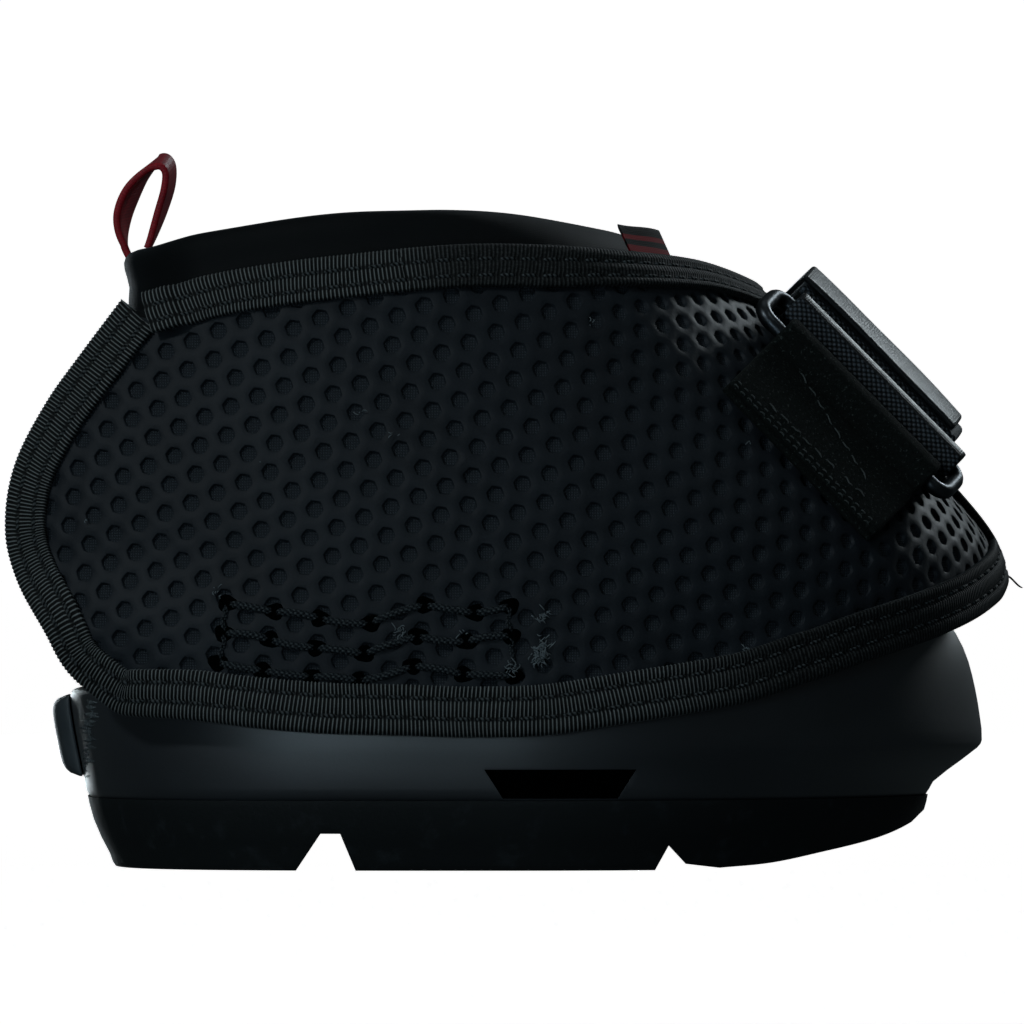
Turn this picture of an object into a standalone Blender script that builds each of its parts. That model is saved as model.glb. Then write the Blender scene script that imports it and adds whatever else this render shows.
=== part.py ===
"""Hoof boot: a rubber sole cup with a fabric upper that opens at the front.

Toe at +X, the boot's right side at -Y, +Z up, ground at zero. Metres.
"""
import math

import bpy
import bmesh
from mathutils import Vector

# Sole and shell
SHELL_FRONT_X = 0.0736
SHELL_REAR_X = -0.0760
SHELL_CENTRE_X = -0.0050
SHELL_WIDTH = 0.1400
SHELL_WALL = 0.0055
SHELL_FLOOR = 0.0030
SHELL_LIP = 0.0012
SOLE_HEIGHT = 0.0114
SOLE_DRAFT = 0.0045
NEST_INSET = 0.0030
NOTCH_DEPTH = 0.0060
CHANNEL_WIDTH = 0.0070
CHANNEL_DEPTH = 0.0045
CHANNEL_SPACING = 0.0440
WINDOW_LENGTH = 0.0245
WINDOW_HEIGHT = 0.0047
WINDOW_SLANT = 0.0030
WINDOW_DEPTH = 0.0032
WINDOW_CENTRE_X = 0.0042
SIDE_RIM_RISE = 0.0125
TOE_RIM_DROP = 0.0030
HEEL_RIM_RISE = 0.0073
BUMPER_WIDTH = 0.0420
BUMPER_HEIGHT = 0.0130
BUMPER_THICKNESS = 0.0030
BUMPER_BOTTOM_RISE = 0.0032

# Upper
UPPER_BOTTOM_Z = 0.0215
UPPER_HEIGHT = 0.0793
TOE_STANDOFF = 0.0045
WING_REACH = 0.0085
WAIST_RISE = 0.0305
DORSAL_ROUNDING = 0.0060
SIDE_ROUNDING = 0.0120
PANEL_THICKNESS = 0.0022
LINING_THICKNESS = 0.0012
TAPE_THICKNESS = 0.0008
BOTTOM_TAPE_WIDTH = 0.0080
TOP_TAPE_WIDTH = 0.0065
REAR_TAPE_WIDTH = 0.0060
FRONT_TAPE_WIDTH = 0.0065
LAYER_GAP = 0.0003
TAPE_GAP = 0.0005
SEAT_GAP = 0.0008
FOLD_GAP = 0.0008
FLAP_OVERLAP = 0.0240
PATCH_THICKNESS = 0.0010
PATCH_MARGIN = 0.0020
COLLAR_THICKNESS = 0.0106
COLLAR_TUCK = 0.0120
COLLAR_REAR_X = -0.0665
COLLAR_RISE = 0.0059
GUSSET_THICKNESS = 0.0020
GUSSET_TUCK = 0.0110
GUSSET_BULGE = 0.0060
THREAD_WIDTH = 0.0016
THREAD_HEIGHT = 0.0010
STITCH_BOX_LENGTH = 0.0487
STITCH_BOX_HEIGHT = 0.0138
STITCH_BOX_REAR_X = -0.0510
STITCH_BOX_RISE = 0.0102
TAB_WIDTH = 0.0067
TAB_HEIGHT = 0.0067
TAB_LEAN = 0.0031
TAB_THICKNESS = 0.0010
TAB_CENTRE_X = 0.0200

# Strap, ring and pull loop
STRAP_WIDTH = 0.0375
STRAP_THICKNESS = 0.0016
STRAP_LIFT = 0.0025
STRAP_LEFT_REACH = 0.0380
STRIP_THICKNESS = 0.0009
COVER_THICKNESS = 0.0011
STRAP_OFFSET_UP = 0.0770
WIRE_DIAMETER = 0.0026
WIRE_CLEARANCE = 0.0006
RING_BAR_REACH = 0.0285
RING_BAR_SPACING = 0.0083
RING_END_CLEARANCE = 0.0010
RING_TAB_THICKNESS = 0.0015
RING_TAB_LENGTH = 0.0155
RING_TAB_WIDTH = 0.0340
TAIL_START = 0.0236
LOOP_WIDTH = 0.0120
LOOP_THICKNESS = 0.0014
LOOP_HEIGHT = 0.0139
LOOP_BULGE = 0.0075
CUT_OVERRUN = 0.0100

# Angles in degrees and shape powers
FOLD_ANGLE = 66.0
TOE_POWER = 2.3
SHELL_TOE_POWER = 2.0
SHELL_HEEL_POWER = 3.6
WING_LOW_POWER = 3.6
COLLAR_REAR_POWER = 3.6

RIGHT = -1
LEFT = 1

# Worked out from the driving sizes
UPPER_REAR_X = SHELL_REAR_X - WING_REACH
UPPER_FRONT_X = SHELL_FRONT_X + TOE_STANDOFF
UPPER_LENGTH = UPPER_FRONT_X - UPPER_REAR_X
WAIST_Z = UPPER_BOTTOM_Z + WAIST_RISE
SLEEVE_THICKNESS = PANEL_THICKNESS + LAYER_GAP + LINING_THICKNESS
TAPE_PROUD = TAPE_GAP + TAPE_THICKNESS
UPPER_HALF_WIDTH = SHELL_WIDTH / 2 + SEAT_GAP + TAPE_PROUD + LAYER_GAP + PANEL_THICKNESS
FLAP_RECESS = SLEEVE_THICKNESS + TAPE_PROUD + LAYER_GAP + LAYER_GAP
COLLAR_DEPTH = SLEEVE_THICKNESS + TAPE_PROUD + LAYER_GAP

# Shares of the upper's length and height, read off the side view
BOTTOM_EDGE_SHARES = (
    (0.110, 0.059), (0.211, 0.027), (0.304, 0.009), (0.393, 0.004), (0.451, 0.000),
    (0.531, 0.004), (0.611, 0.028), (0.691, 0.054), (0.742, 0.076), (0.842, 0.149),
    (0.931, 0.211), (0.983, 0.270), (0.996, 0.320), (1.000, 0.362))
TOP_EDGE_SHARES = (
    (0.117, 0.890), (0.147, 0.908), (0.192, 0.937), (0.256, 0.961), (0.336, 0.981),
    (0.438, 1.000), (0.524, 1.000), (0.620, 0.985), (0.676, 0.970), (0.708, 0.951),
    (0.740, 0.923), (0.761, 0.898))
REAR_EDGE_SHARES = (
    (0.059, 0.110), (0.140, 0.063), (0.223, 0.039), (0.322, 0.012), (0.420, 0.000),
    (0.545, 0.008), (0.672, 0.039), (0.770, 0.073), (0.890, 0.117))
COLLAR_TOP_SHARES = (
    (0.111, -0.12), (0.137, 0.02), (0.154, 0.14), (0.175, 0.29), (0.218, 0.49), (0.261, 0.69),
    (0.303, 0.85), (0.346, 0.95), (0.408, 1.00), (0.464, 0.92), (0.531, 0.71), (0.607, 0.40),
    (0.660, 0.20), (0.686, 0.02), (0.704, -0.25))

# Shares of the shell's height, against its toe, heel and side reach
TOE_WALL_SHARES = (
    (0.000, 0.887), (0.068, 0.898), (0.254, 0.990), (0.296, 1.000), (0.424, 0.996),
    (0.592, 0.985), (0.759, 0.968), (0.894, 0.943), (1.000, 0.912))
HEEL_WALL_SHARES = ((0.000, 0.959), (0.084, 0.966), (0.559, 1.000), (1.000, 1.000))
SIDE_WALL_SHARES = ((0.000, 0.979), (0.100, 0.990), (0.300, 1.000), (1.000, 1.000))
SOLE_SIDE_SHARES = ((0.000, 1.000), (0.175, 0.820), (0.660, 0.220), (1.000, 0.000))
SHELL_RING_SHARES = (0.0, 0.068, 0.254, 0.296, 0.424)

# Shares of the sole's length and height
HEEL_NOTCH_SHARES = ((0.251, 0.0), (0.280, 1.0), (0.303, 1.0), (0.321, 0.0))
TOE_LINE_SHARES = (
    (0.672, 0.000), (0.688, 0.351), (0.708, 0.088), (0.748, 0.026), (0.809, 0.088),
    (0.869, 0.228), (0.936, 0.412), (0.977, 0.605), (0.991, 0.746), (1.010, 0.895))

DORSAL_SLOPE = 0.99
CENTRE_LEAN = 0.311
SIDE_LEAN = 0.333
CENTRE_SHARE = 0.4766
WING_REACH_SHARES = (0.455, 0.716)
WING_LEAN = 0.622


# Small helpers for numbers

def lerp(start, stop, share):
    return start + (stop - start) * share


def ease(share):
    share = min(1.0, max(0.0, share))
    return share * share * (3 - 2 * share)


def along(table, position):
    """Read a table of (position, value) pairs with a smooth monotone curve."""
    if position <= table[0][0]:
        return table[0][1]
    for index in range(1, len(table)):
        if position <= table[index][0]:
            break
    else:
        return table[-1][1]
    left, right = table[index - 1], table[index]
    width = right[0] - left[0]
    share = (position - left[0]) / width
    slope = (right[1] - left[1]) / width
    before = slope if index == 1 else (right[1] - table[index - 2][1]) / (right[0] - table[index - 2][0])
    if index == len(table) - 1:
        after = slope
    else:
        after = (table[index + 1][1] - left[1]) / (table[index + 1][0] - left[0])
    square, cube = share * share, share ** 3
    return ((2 * cube - 3 * square + 1) * left[1] + (cube - 2 * square + share) * width * before
            + (3 * square - 2 * cube) * right[1] + (cube - square) * width * after)


def soft_ramp(distance, rounding):
    """Zero below, the distance itself above, with a rounded turn between."""
    return (distance + math.hypot(distance, rounding)) / 2


def powered(value, power):
    return math.copysign(abs(value) ** (2 / power), value)


# The upper's outer surface, as an angle round the hoof and a height

def centre_x(z):
    return UPPER_REAR_X + CENTRE_SHARE * UPPER_LENGTH - CENTRE_LEAN * soft_ramp(z - WAIST_Z, SIDE_ROUNDING)


def front_x(z):
    return UPPER_FRONT_X - DORSAL_SLOPE * soft_ramp(z - WAIST_Z, DORSAL_ROUNDING)


def half_width(z):
    return UPPER_HALF_WIDTH - SIDE_LEAN * soft_ramp(z - WAIST_Z, SIDE_ROUNDING)


def wing_reach(z):
    rise = ease((z - UPPER_BOTTOM_Z) / WAIST_RISE)
    reach = UPPER_LENGTH * lerp(WING_REACH_SHARES[0], WING_REACH_SHARES[1], rise)
    return reach - WING_LEAN * soft_ramp(z - WAIST_Z, SIDE_ROUNDING)


def wing_power(z):
    return lerp(WING_LOW_POWER, 2.0, ease((z - UPPER_BOTTOM_Z) / WAIST_RISE))


def plan_point(angle, z, collar=False):
    """The upper's plan; the collar leaves it behind the middle to close round the heel."""
    cosine, sine = math.cos(angle), math.sin(angle)
    width = half_width(z)
    if cosine >= 0:
        power, reach = TOE_POWER, front_x(z) - centre_x(z)
    elif collar:
        power, reach = COLLAR_REAR_POWER, centre_x(z) - COLLAR_REAR_X + COLLAR_DEPTH
    else:
        power, reach = wing_power(z), wing_reach(z)
    forward, aside = reach * powered(cosine, power), width * powered(sine, power)
    if collar and cosine < 0:
        wing = (1 - min(1.0, -forward / wing_reach(z)) ** wing_power(z)) ** (1 / wing_power(z))
        aside = math.copysign(min(abs(aside), width * wing), aside)
    return Vector((centre_x(z) + forward, aside, z))


STEP_SHARE = 0.002


def upper_point(angle, z, offset, side, collar=False):
    """A point of the upper, moved out of its surface by offset; side is RIGHT or LEFT."""
    rise = STEP_SHARE * UPPER_HEIGHT
    point = plan_point(angle, z, collar)
    turn = plan_point(angle + STEP_SHARE, z, collar) - plan_point(angle - STEP_SHARE, z, collar)
    lift = plan_point(angle, z + rise, collar) - plan_point(angle, z - rise, collar)
    point = point + turn.cross(lift).normalized() * offset
    return Vector((point.x, side * point.y, point.z))


def angle_at(x, z):
    """The angle at which the upper's side view passes through x at this height."""
    forward = x - centre_x(z)
    if forward >= 0:
        share = min(1.0, forward / (front_x(z) - centre_x(z)))
        return math.acos(share ** (TOE_POWER / 2))
    share = min(1.0, -forward / wing_reach(z))
    return math.pi - math.acos(share ** (wing_power(z) / 2))


def bottom_z(x):
    return UPPER_BOTTOM_Z + UPPER_HEIGHT * along(BOTTOM_EDGE_SHARES, (x - UPPER_REAR_X) / UPPER_LENGTH)


def top_z(x):
    return UPPER_BOTTOM_Z + UPPER_HEIGHT * along(TOP_EDGE_SHARES, (x - UPPER_REAR_X) / UPPER_LENGTH)


def collar_top_z(x):
    return (UPPER_BOTTOM_Z + UPPER_HEIGHT
            + COLLAR_RISE * along(COLLAR_TOP_SHARES, (x - UPPER_REAR_X) / UPPER_LENGTH))


def surface_x(x, z, offset):
    """Where the surface itself shows when a point set in from it shows at x."""
    aim = x
    for _ in range(12):
        aim += x - upper_point(angle_at(aim, z), z, offset, LEFT).x
    return aim


# The fold of each flap: a straight line along the upper's cone

def sharp_cone_point(z):
    angle = math.radians(FOLD_ANGLE)
    rise = z - WAIST_Z
    centre = UPPER_REAR_X + CENTRE_SHARE * UPPER_LENGTH - CENTRE_LEAN * rise
    reach = UPPER_FRONT_X - DORSAL_SLOPE * rise - centre
    width = UPPER_HALF_WIDTH - SIDE_LEAN * rise
    return Vector((centre + reach * powered(math.cos(angle), TOE_POWER),
                   width * powered(math.sin(angle), TOE_POWER), z))


FOLD_LOW = sharp_cone_point(WAIST_Z)
FOLD_HIGH = sharp_cone_point(UPPER_BOTTOM_Z + UPPER_HEIGHT)
FOLD_DIRECTION = (FOLD_HIGH - FOLD_LOW).normalized()


def fold_x(z):
    return FOLD_LOW.x + (z - FOLD_LOW.z) * FOLD_DIRECTION.x / FOLD_DIRECTION.z


def fold_end(edge):
    """Where the fold line meets an edge of the upper in the side view."""
    x = FOLD_LOW.x
    for _ in range(40):
        x = lerp(x, fold_x(edge(x)), 0.5)
    return x


FOLD_BOTTOM_X = fold_end(bottom_z)
FOLD_TOP_X = fold_end(top_z)


# Patches of the upper, as (across, up) shares to (angle, height)

def coons(bottom, top, rear, front):
    """Fill four edge curves, each giving (angle, height) for a share of its length."""
    corners = (bottom(0), bottom(1), top(0), top(1))

    def patch(across, up):
        low, high, back, ahead = bottom(across), top(across), rear(up), front(up)
        result = []
        for index in range(2):
            ruled = lerp(low[index], high[index], up) + lerp(back[index], ahead[index], across)
            plane = lerp(lerp(corners[0][index], corners[1][index], across),
                         lerp(corners[2][index], corners[3][index], across), up)
            result.append(ruled - plane)
        return result
    return patch


def edge_curve(edge, start_x, end_x, to_toe=False):
    def curve(share):
        if to_toe and share > 1:
            angle, z = curve(2 - share)
            return -angle, z
        near_toe = 1 - (1 - math.sin(min(share, 1) * math.pi / 2)) ** (TOE_POWER / 2)
        x = lerp(start_x, end_x, near_toe if to_toe else share)
        z = edge(x)
        return angle_at(x, z), z
    return curve


def fold_curve(shift):
    def curve(share):
        z = lerp(bottom_z(FOLD_BOTTOM_X), top_z(FOLD_TOP_X), share)
        return angle_at(fold_x(z) + shift, z), z
    return curve


def rear_curve(share):
    low, high = BOTTOM_EDGE_SHARES[0][1], TOP_EDGE_SHARES[0][1]
    height_share = lerp(low, high, share)
    x = UPPER_REAR_X + UPPER_LENGTH * along(REAR_EDGE_SHARES, height_share)
    z = UPPER_BOTTOM_Z + UPPER_HEIGHT * height_share
    return angle_at(x, z), z


def midline_end(edge, start_x):
    """Where an edge of the upper meets the front midline."""
    low, high = start_x, UPPER_FRONT_X
    for _ in range(40):
        x = (low + high) / 2
        if x < front_x(edge(x)):
            low = x
        else:
            high = x
    return low, edge(low)


TIP_X, TIP_Z = midline_end(bottom_z, FOLD_BOTTOM_X)
PEAK_X, PEAK_Z = midline_end(top_z, FOLD_TOP_X)
PANEL_REAR_LOW_X = UPPER_REAR_X + UPPER_LENGTH * BOTTOM_EDGE_SHARES[0][0]
PANEL_REAR_HIGH_X = UPPER_REAR_X + UPPER_LENGTH * TOP_EDGE_SHARES[0][0]


def midline_curve(share):
    return 0.0, lerp(TIP_Z, PEAK_Z, share)


def side_patch():
    shift = -FOLD_GAP / 2
    return coons(edge_curve(bottom_z, PANEL_REAR_LOW_X, FOLD_BOTTOM_X + shift),
                 edge_curve(top_z, PANEL_REAR_HIGH_X, FOLD_TOP_X + shift),
                 rear_curve, fold_curve(shift))


def flap_patch():
    shift = FOLD_GAP / 2
    return coons(edge_curve(bottom_z, FOLD_BOTTOM_X + shift, TIP_X, to_toe=True),
                 edge_curve(top_z, FOLD_TOP_X + shift, PEAK_X, to_toe=True),
                 fold_curve(shift), midline_curve)


def tucked_patch():
    """The left flap: the same patch, drawn on past the midline under the right flap."""
    plain = flap_patch()
    overlap = FLAP_OVERLAP / UPPER_HALF_WIDTH
    whole = math.radians(FOLD_ANGLE)

    def patch(across, up):
        stretch = across * (1 + overlap / whole)
        if stretch <= 1:
            return plain(stretch, up)
        angle, height = plain(1, up)
        return [angle - (stretch - 1) * whole, height]
    return patch


def flat_offset(angle):
    return 0.0


TUCK_START_SHARE, TUCK_END_SHARE = 0.50, 0.18


def tucked_offset(angle):
    share = angle / math.radians(FOLD_ANGLE)
    return -FLAP_RECESS * ease((TUCK_START_SHARE - share) / (TUCK_START_SHARE - TUCK_END_SHARE))


def patch_point(patch, side, base, across, up, offset, collar=False):
    angle, z = patch(across, up)
    return upper_point(angle, z, base(angle) + offset, side, collar)


def patch_span(patch, side, base, across, up, upward):
    """The patch's own length through a point, up it or across it."""
    steps = 12
    points = []
    for index in range(steps + 1):
        share = index / steps
        place = (across, share) if upward else (share, up)
        points.append(patch_point(patch, side, base, place[0], place[1], 0.0))
    return sum((points[index + 1] - points[index]).length for index in range(steps))


# Mesh helpers

def finish(name, bm, colour, roughness, metallic=0.0, smooth_angle=35.0):
    bmesh.ops.recalc_face_normals(bm, faces=bm.faces)
    mesh = bpy.data.meshes.new(name)
    bm.to_mesh(mesh)
    bm.free()
    piece = bpy.data.objects.new(name, mesh)
    bpy.context.scene.collection.objects.link(piece)
    mesh.shade_smooth()
    mesh.set_sharp_from_angle(angle=math.radians(smooth_angle))
    paint(piece, colour, roughness, metallic)
    return piece


def paint(piece, colour, roughness, metallic):
    material = bpy.data.materials.new(piece.name)
    material.use_nodes = True
    shader = material.node_tree.nodes["Principled BSDF"]
    shader.inputs["Base Color"].default_value = (*colour, 1.0)
    shader.inputs["Roughness"].default_value = roughness
    shader.inputs["Metallic"].default_value = metallic
    piece.data.materials.append(material)


def grid_solid(point, columns, rows, keep=None):
    """A slab of cells; point(column, row, skin) places a corner on skin 0 or 1."""
    bm = bmesh.new()
    corners = {}

    def corner(column, row, skin):
        key = (column, row, skin)
        if key not in corners:
            corners[key] = bm.verts.new(point(column, row, skin))
        return corners[key]

    def kept(column, row):
        inside = 0 <= column < columns and 0 <= row < rows
        return inside and (keep is None or keep(column, row))

    for column in range(columns):
        for row in range(rows):
            if not kept(column, row):
                continue
            square = ((column, row), (column + 1, row), (column + 1, row + 1), (column, row + 1))
            bm.faces.new([corner(*place, 1) for place in square])
            bm.faces.new([corner(*place, 0) for place in reversed(square)])
            beyond = ((column, row - 1), (column + 1, row), (column, row + 1), (column - 1, row))
            for index, neighbour in enumerate(beyond):
                if not kept(*neighbour):
                    first, second = square[index], square[(index + 1) % 4]
                    bm.faces.new((corner(*first, 0), corner(*second, 0),
                                  corner(*second, 1), corner(*first, 1)))
    return bm


def ring_solid(rings, caps=True):
    """Join rings of points into a closed skin, with its two ends capped or the rings closed."""
    bm = bmesh.new()
    loops = [[bm.verts.new(point) for point in ring] for ring in rings]
    count = len(rings[0])
    pairs = list(zip(loops, loops[1:])) if caps else list(zip(loops, loops[1:] + loops[:1]))
    for first, second in pairs:
        for index in range(count):
            after = (index + 1) % count
            bm.faces.new((first[index], first[after], second[after], second[index]))
    if caps:
        bm.faces.new(loops[0])
        bm.faces.new(list(reversed(loops[-1])))
    return bm


def finish_cutter(name, bm):
    cutter = finish(name, bm, (1, 0, 0), 0.5)
    cutter.hide_render = True
    cutter.display_type = "WIRE"
    return cutter


def prism(name, outline, low_y, high_y):
    """A cutter: a side-view outline drawn out across the boot."""
    return finish_cutter(name, ring_solid([[Vector((x, y, z)) for x, z in outline] for y in (low_y, high_y)]))


def cut(piece, cutter):
    modifier = piece.modifiers.new(cutter.name, "BOOLEAN")
    modifier.operation = "DIFFERENCE"
    modifier.solver = "EXACT"
    modifier.object = cutter


BLACK_FABRIC = ((0.016, 0.018, 0.024), 0.75)
BLACK_TAPE = ((0.020, 0.022, 0.028), 0.85)
BLACK_RUBBER = ((0.018, 0.020, 0.026), 0.60)
BLACK_NEOPRENE = ((0.014, 0.016, 0.021), 0.65)
PILE = ((0.022, 0.023, 0.028), 0.95)
RED_RIBBON = ((0.45, 0.02, 0.03), 0.60)
WIRE_METAL = ((0.45, 0.46, 0.48), 0.35)

SIDES = (("right", RIGHT), ("left", LEFT))


# Sole cup

TOE_RIM_Z = TIP_Z - TAPE_PROUD - TOE_RIM_DROP
SHELL_HEIGHT = TOE_RIM_Z - SOLE_HEIGHT
OUTLINE_POINTS = 48


def shell_reach(angle, z):
    share = (z - SOLE_HEIGHT) / SHELL_HEIGHT
    cosine, sine = math.cos(angle), math.sin(angle)
    if cosine >= 0:
        power = SHELL_TOE_POWER
        reach = (SHELL_FRONT_X - SHELL_CENTRE_X) * along(TOE_WALL_SHARES, share)
    else:
        power = SHELL_HEEL_POWER
        reach = (SHELL_CENTRE_X - SHELL_REAR_X) * along(HEEL_WALL_SHARES, share)
    width = SHELL_WIDTH / 2 * along(SIDE_WALL_SHARES, share)
    return SHELL_CENTRE_X + reach * powered(cosine, power), width * powered(sine, power)


def shell_angle(index):
    """Angles that space the outline's points evenly round the blunt heel too."""
    turn = 2 * math.pi * index / OUTLINE_POINTS
    if math.cos(turn) >= 0:
        return turn
    power = SHELL_HEEL_POWER / 2
    return math.atan2(math.copysign(abs(math.sin(turn)) ** power, math.sin(turn)),
                      -abs(math.cos(turn)) ** power)


def shell_ring(height, inset):
    """One ring of the cup; height and inset are numbers or functions of the angle."""
    points = []
    for index in range(OUTLINE_POINTS):
        angle = shell_angle(index)
        z = height(angle) if callable(height) else height
        x, y = shell_reach(angle, z)
        ahead = Vector(shell_reach(angle + STEP_SHARE, z))
        behind = Vector(shell_reach(angle - STEP_SHARE, z))
        along_wall = (ahead - behind).normalized()
        points.append(Vector((x - inset * along_wall.y, y + inset * along_wall.x, z)))
    return points


RIM_TURN_SHARE = 0.2


def rim_z(angle):
    forward = ease(math.cos(angle))
    backward = ease(-math.cos(angle) * (1 + RIM_TURN_SHARE) - RIM_TURN_SHARE)
    side = UPPER_BOTTOM_Z + SIDE_RIM_RISE
    return side + forward * (TOE_RIM_Z - side) + backward * (HEEL_RIM_RISE - SIDE_RIM_RISE)


def make_shell():
    nest_z = SOLE_HEIGHT - SHELL_FLOOR
    rings = [shell_ring(nest_z, NEST_INSET), shell_ring(SOLE_HEIGHT, NEST_INSET)]
    levels = [SOLE_HEIGHT + SHELL_HEIGHT * share for share in SHELL_RING_SHARES]
    top_level = levels[-1]

    def blend(share, drop):
        return lambda angle: lerp(top_level, rim_z(angle) - drop, share)

    rings += [shell_ring(z, 0.0) for z in levels]
    rings += [shell_ring(blend(0.5, SHELL_LIP), 0.0), shell_ring(blend(1.0, SHELL_LIP), 0.0)]
    rings += [shell_ring(blend(1.0, 0.0), SHELL_LIP), shell_ring(blend(1.0, 0.0), SHELL_WALL - SHELL_LIP)]
    rings += [shell_ring(blend(1.0, SHELL_LIP), SHELL_WALL), shell_ring(blend(0.5, SHELL_LIP), SHELL_WALL)]
    rings += [shell_ring(z, SHELL_WALL) for z in reversed(levels)]
    shell = finish("sole_shell", ring_solid(rings), *BLACK_RUBBER)
    for name, side in SIDES:
        cut(shell, window_cutter(name, side))


def shell_side(x, z):
    """How far the cup's side wall stands out at x."""
    toe, width = shell_reach(0.0, z)[0], shell_reach(math.pi / 2, z)[1]
    if x >= SHELL_CENTRE_X:
        share = (x - SHELL_CENTRE_X) / (toe - SHELL_CENTRE_X)
        return width * (1 - share ** SHELL_TOE_POWER) ** (1 / SHELL_TOE_POWER)
    share = (SHELL_CENTRE_X - x) / (SHELL_CENTRE_X - shell_reach(math.pi, z)[0])
    return width * (1 - share ** SHELL_HEEL_POWER) ** (1 / SHELL_HEEL_POWER)


def window_cutter(name, side):
    """A shallow window in the side wall, of even depth along the wall's curve."""
    steps = 8
    low, high = SOLE_HEIGHT + LAYER_GAP, SOLE_HEIGHT + LAYER_GAP + WINDOW_HEIGHT
    out = SHELL_WIDTH / 2 + CUT_OVERRUN
    rings = []
    for index in range(steps + 1):
        ring = []
        for z, slant in ((low, WINDOW_SLANT), (high, 0.0)):
            half = WINDOW_LENGTH / 2 - slant
            x = WINDOW_CENTRE_X + lerp(-half, half, index / steps)
            floor = shell_side(x, z) - WINDOW_DEPTH
            ends = (floor, out) if z == low else (out, floor)
            ring += [Vector((x, side * y, z)) for y in ends]
        rings.append(ring)
    return finish_cutter(name + "_window_cutter", ring_solid(rings))


def sole_x(share):
    rear = shell_reach(math.pi, SOLE_HEIGHT)[0]
    front = shell_reach(0.0, SOLE_HEIGHT)[0]
    return lerp(rear, front, share)


def make_outsole():
    rings = []
    for height_share, inset_share in SOLE_SIDE_SHARES:
        ring = shell_ring(SOLE_HEIGHT, SOLE_DRAFT * inset_share)
        level = (SOLE_HEIGHT - LAYER_GAP) * height_share
        rings.append([Vector((point.x, point.y, level)) for point in ring])
    nest = shell_ring(SOLE_HEIGHT, NEST_INSET - LAYER_GAP)
    for level in (SOLE_HEIGHT - LAYER_GAP, SOLE_HEIGHT - SHELL_FLOOR - LAYER_GAP):
        rings.append([Vector((point.x, point.y, level)) for point in nest])
    outsole = finish("outsole", ring_solid(rings), *BLACK_RUBBER)
    reach = SHELL_WIDTH / 2 + CUT_OVERRUN
    notch = [(sole_x(x), NOTCH_DEPTH * depth) for x, depth in HEEL_NOTCH_SHARES]
    notch = [(notch[0][0], -CUT_OVERRUN)] + notch + [(notch[-1][0], -CUT_OVERRUN)]
    cut(outsole, prism("notch_cutter", notch, -reach, reach))
    toe = [(sole_x(x), SOLE_HEIGHT * height) for x, height in TOE_LINE_SHARES]
    toe = [(toe[0][0], -CUT_OVERRUN)] + toe + [(toe[-1][0], -CUT_OVERRUN)]
    cut(outsole, prism("toe_cutter", toe, -reach, reach))
    front, rear = sole_x(TOE_LINE_SHARES[0][0]) + CHANNEL_WIDTH / 2, sole_x(HEEL_NOTCH_SHARES[0][0])
    box = ((rear, -CUT_OVERRUN), (front, -CUT_OVERRUN), (front, CHANNEL_DEPTH), (rear, CHANNEL_DEPTH))
    for name, side in SIDES:
        middle = side * CHANNEL_SPACING / 2
        cutter = prism(name + "_channel_cutter", box, middle - CHANNEL_WIDTH / 2, middle + CHANNEL_WIDTH / 2)
        cut(outsole, cutter)


def make_bumper():
    """A crowned pad on the back wall of the cup."""
    low = SOLE_HEIGHT + BUMPER_BOTTOM_RISE
    columns, rows = 12, 6

    def point(column, row, skin):
        across = lerp(-1, 1, column / columns)
        up = lerp(-1, 1, row / rows)
        z = low + BUMPER_HEIGHT * row / rows
        y = across * BUMPER_WIDTH / 2
        wall_x, wall_y = shell_reach(math.pi, z)
        width = shell_reach(math.pi / 2, z)[1]
        drop = (1 - abs(y / width) ** SHELL_HEEL_POWER) ** (1 / SHELL_HEEL_POWER)
        x = SHELL_CENTRE_X - (SHELL_CENTRE_X - wall_x) * drop - LAYER_GAP
        crown = math.sqrt(max(0.0, (1 - 0.9 * across ** 4) * (1 - 0.9 * up ** 4)))
        return Vector((x - skin * BUMPER_THICKNESS * crown, y, z))
    finish("heel_bumper", grid_solid(point, columns, rows), *BLACK_RUBBER)


# Panels, linings, patches and tapes

def slab(name, look, patch, side, base, columns, rows, low, high, across=(0, 1), up=(0, 1)):
    """A layer of the upper; across and up give its limits, as numbers or functions."""
    def limit(pair, index, share):
        return pair[index](share) if callable(pair[index]) else pair[index]

    def point(column, row, skin):
        across_share, up_share = column / columns, row / rows
        start, stop = limit(across, 0, up_share), limit(across, 1, up_share)
        place_across = lerp(start, stop, across_share)
        bottom, top = limit(up, 0, place_across), limit(up, 1, place_across)
        place_up = lerp(bottom, top, up_share)
        return patch_point(patch, side, base, place_across, place_up, lerp(low, high, skin))
    return finish(name, grid_solid(point, columns, rows), *look)


TAPE_BEND_SHARE = 0.45


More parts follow.
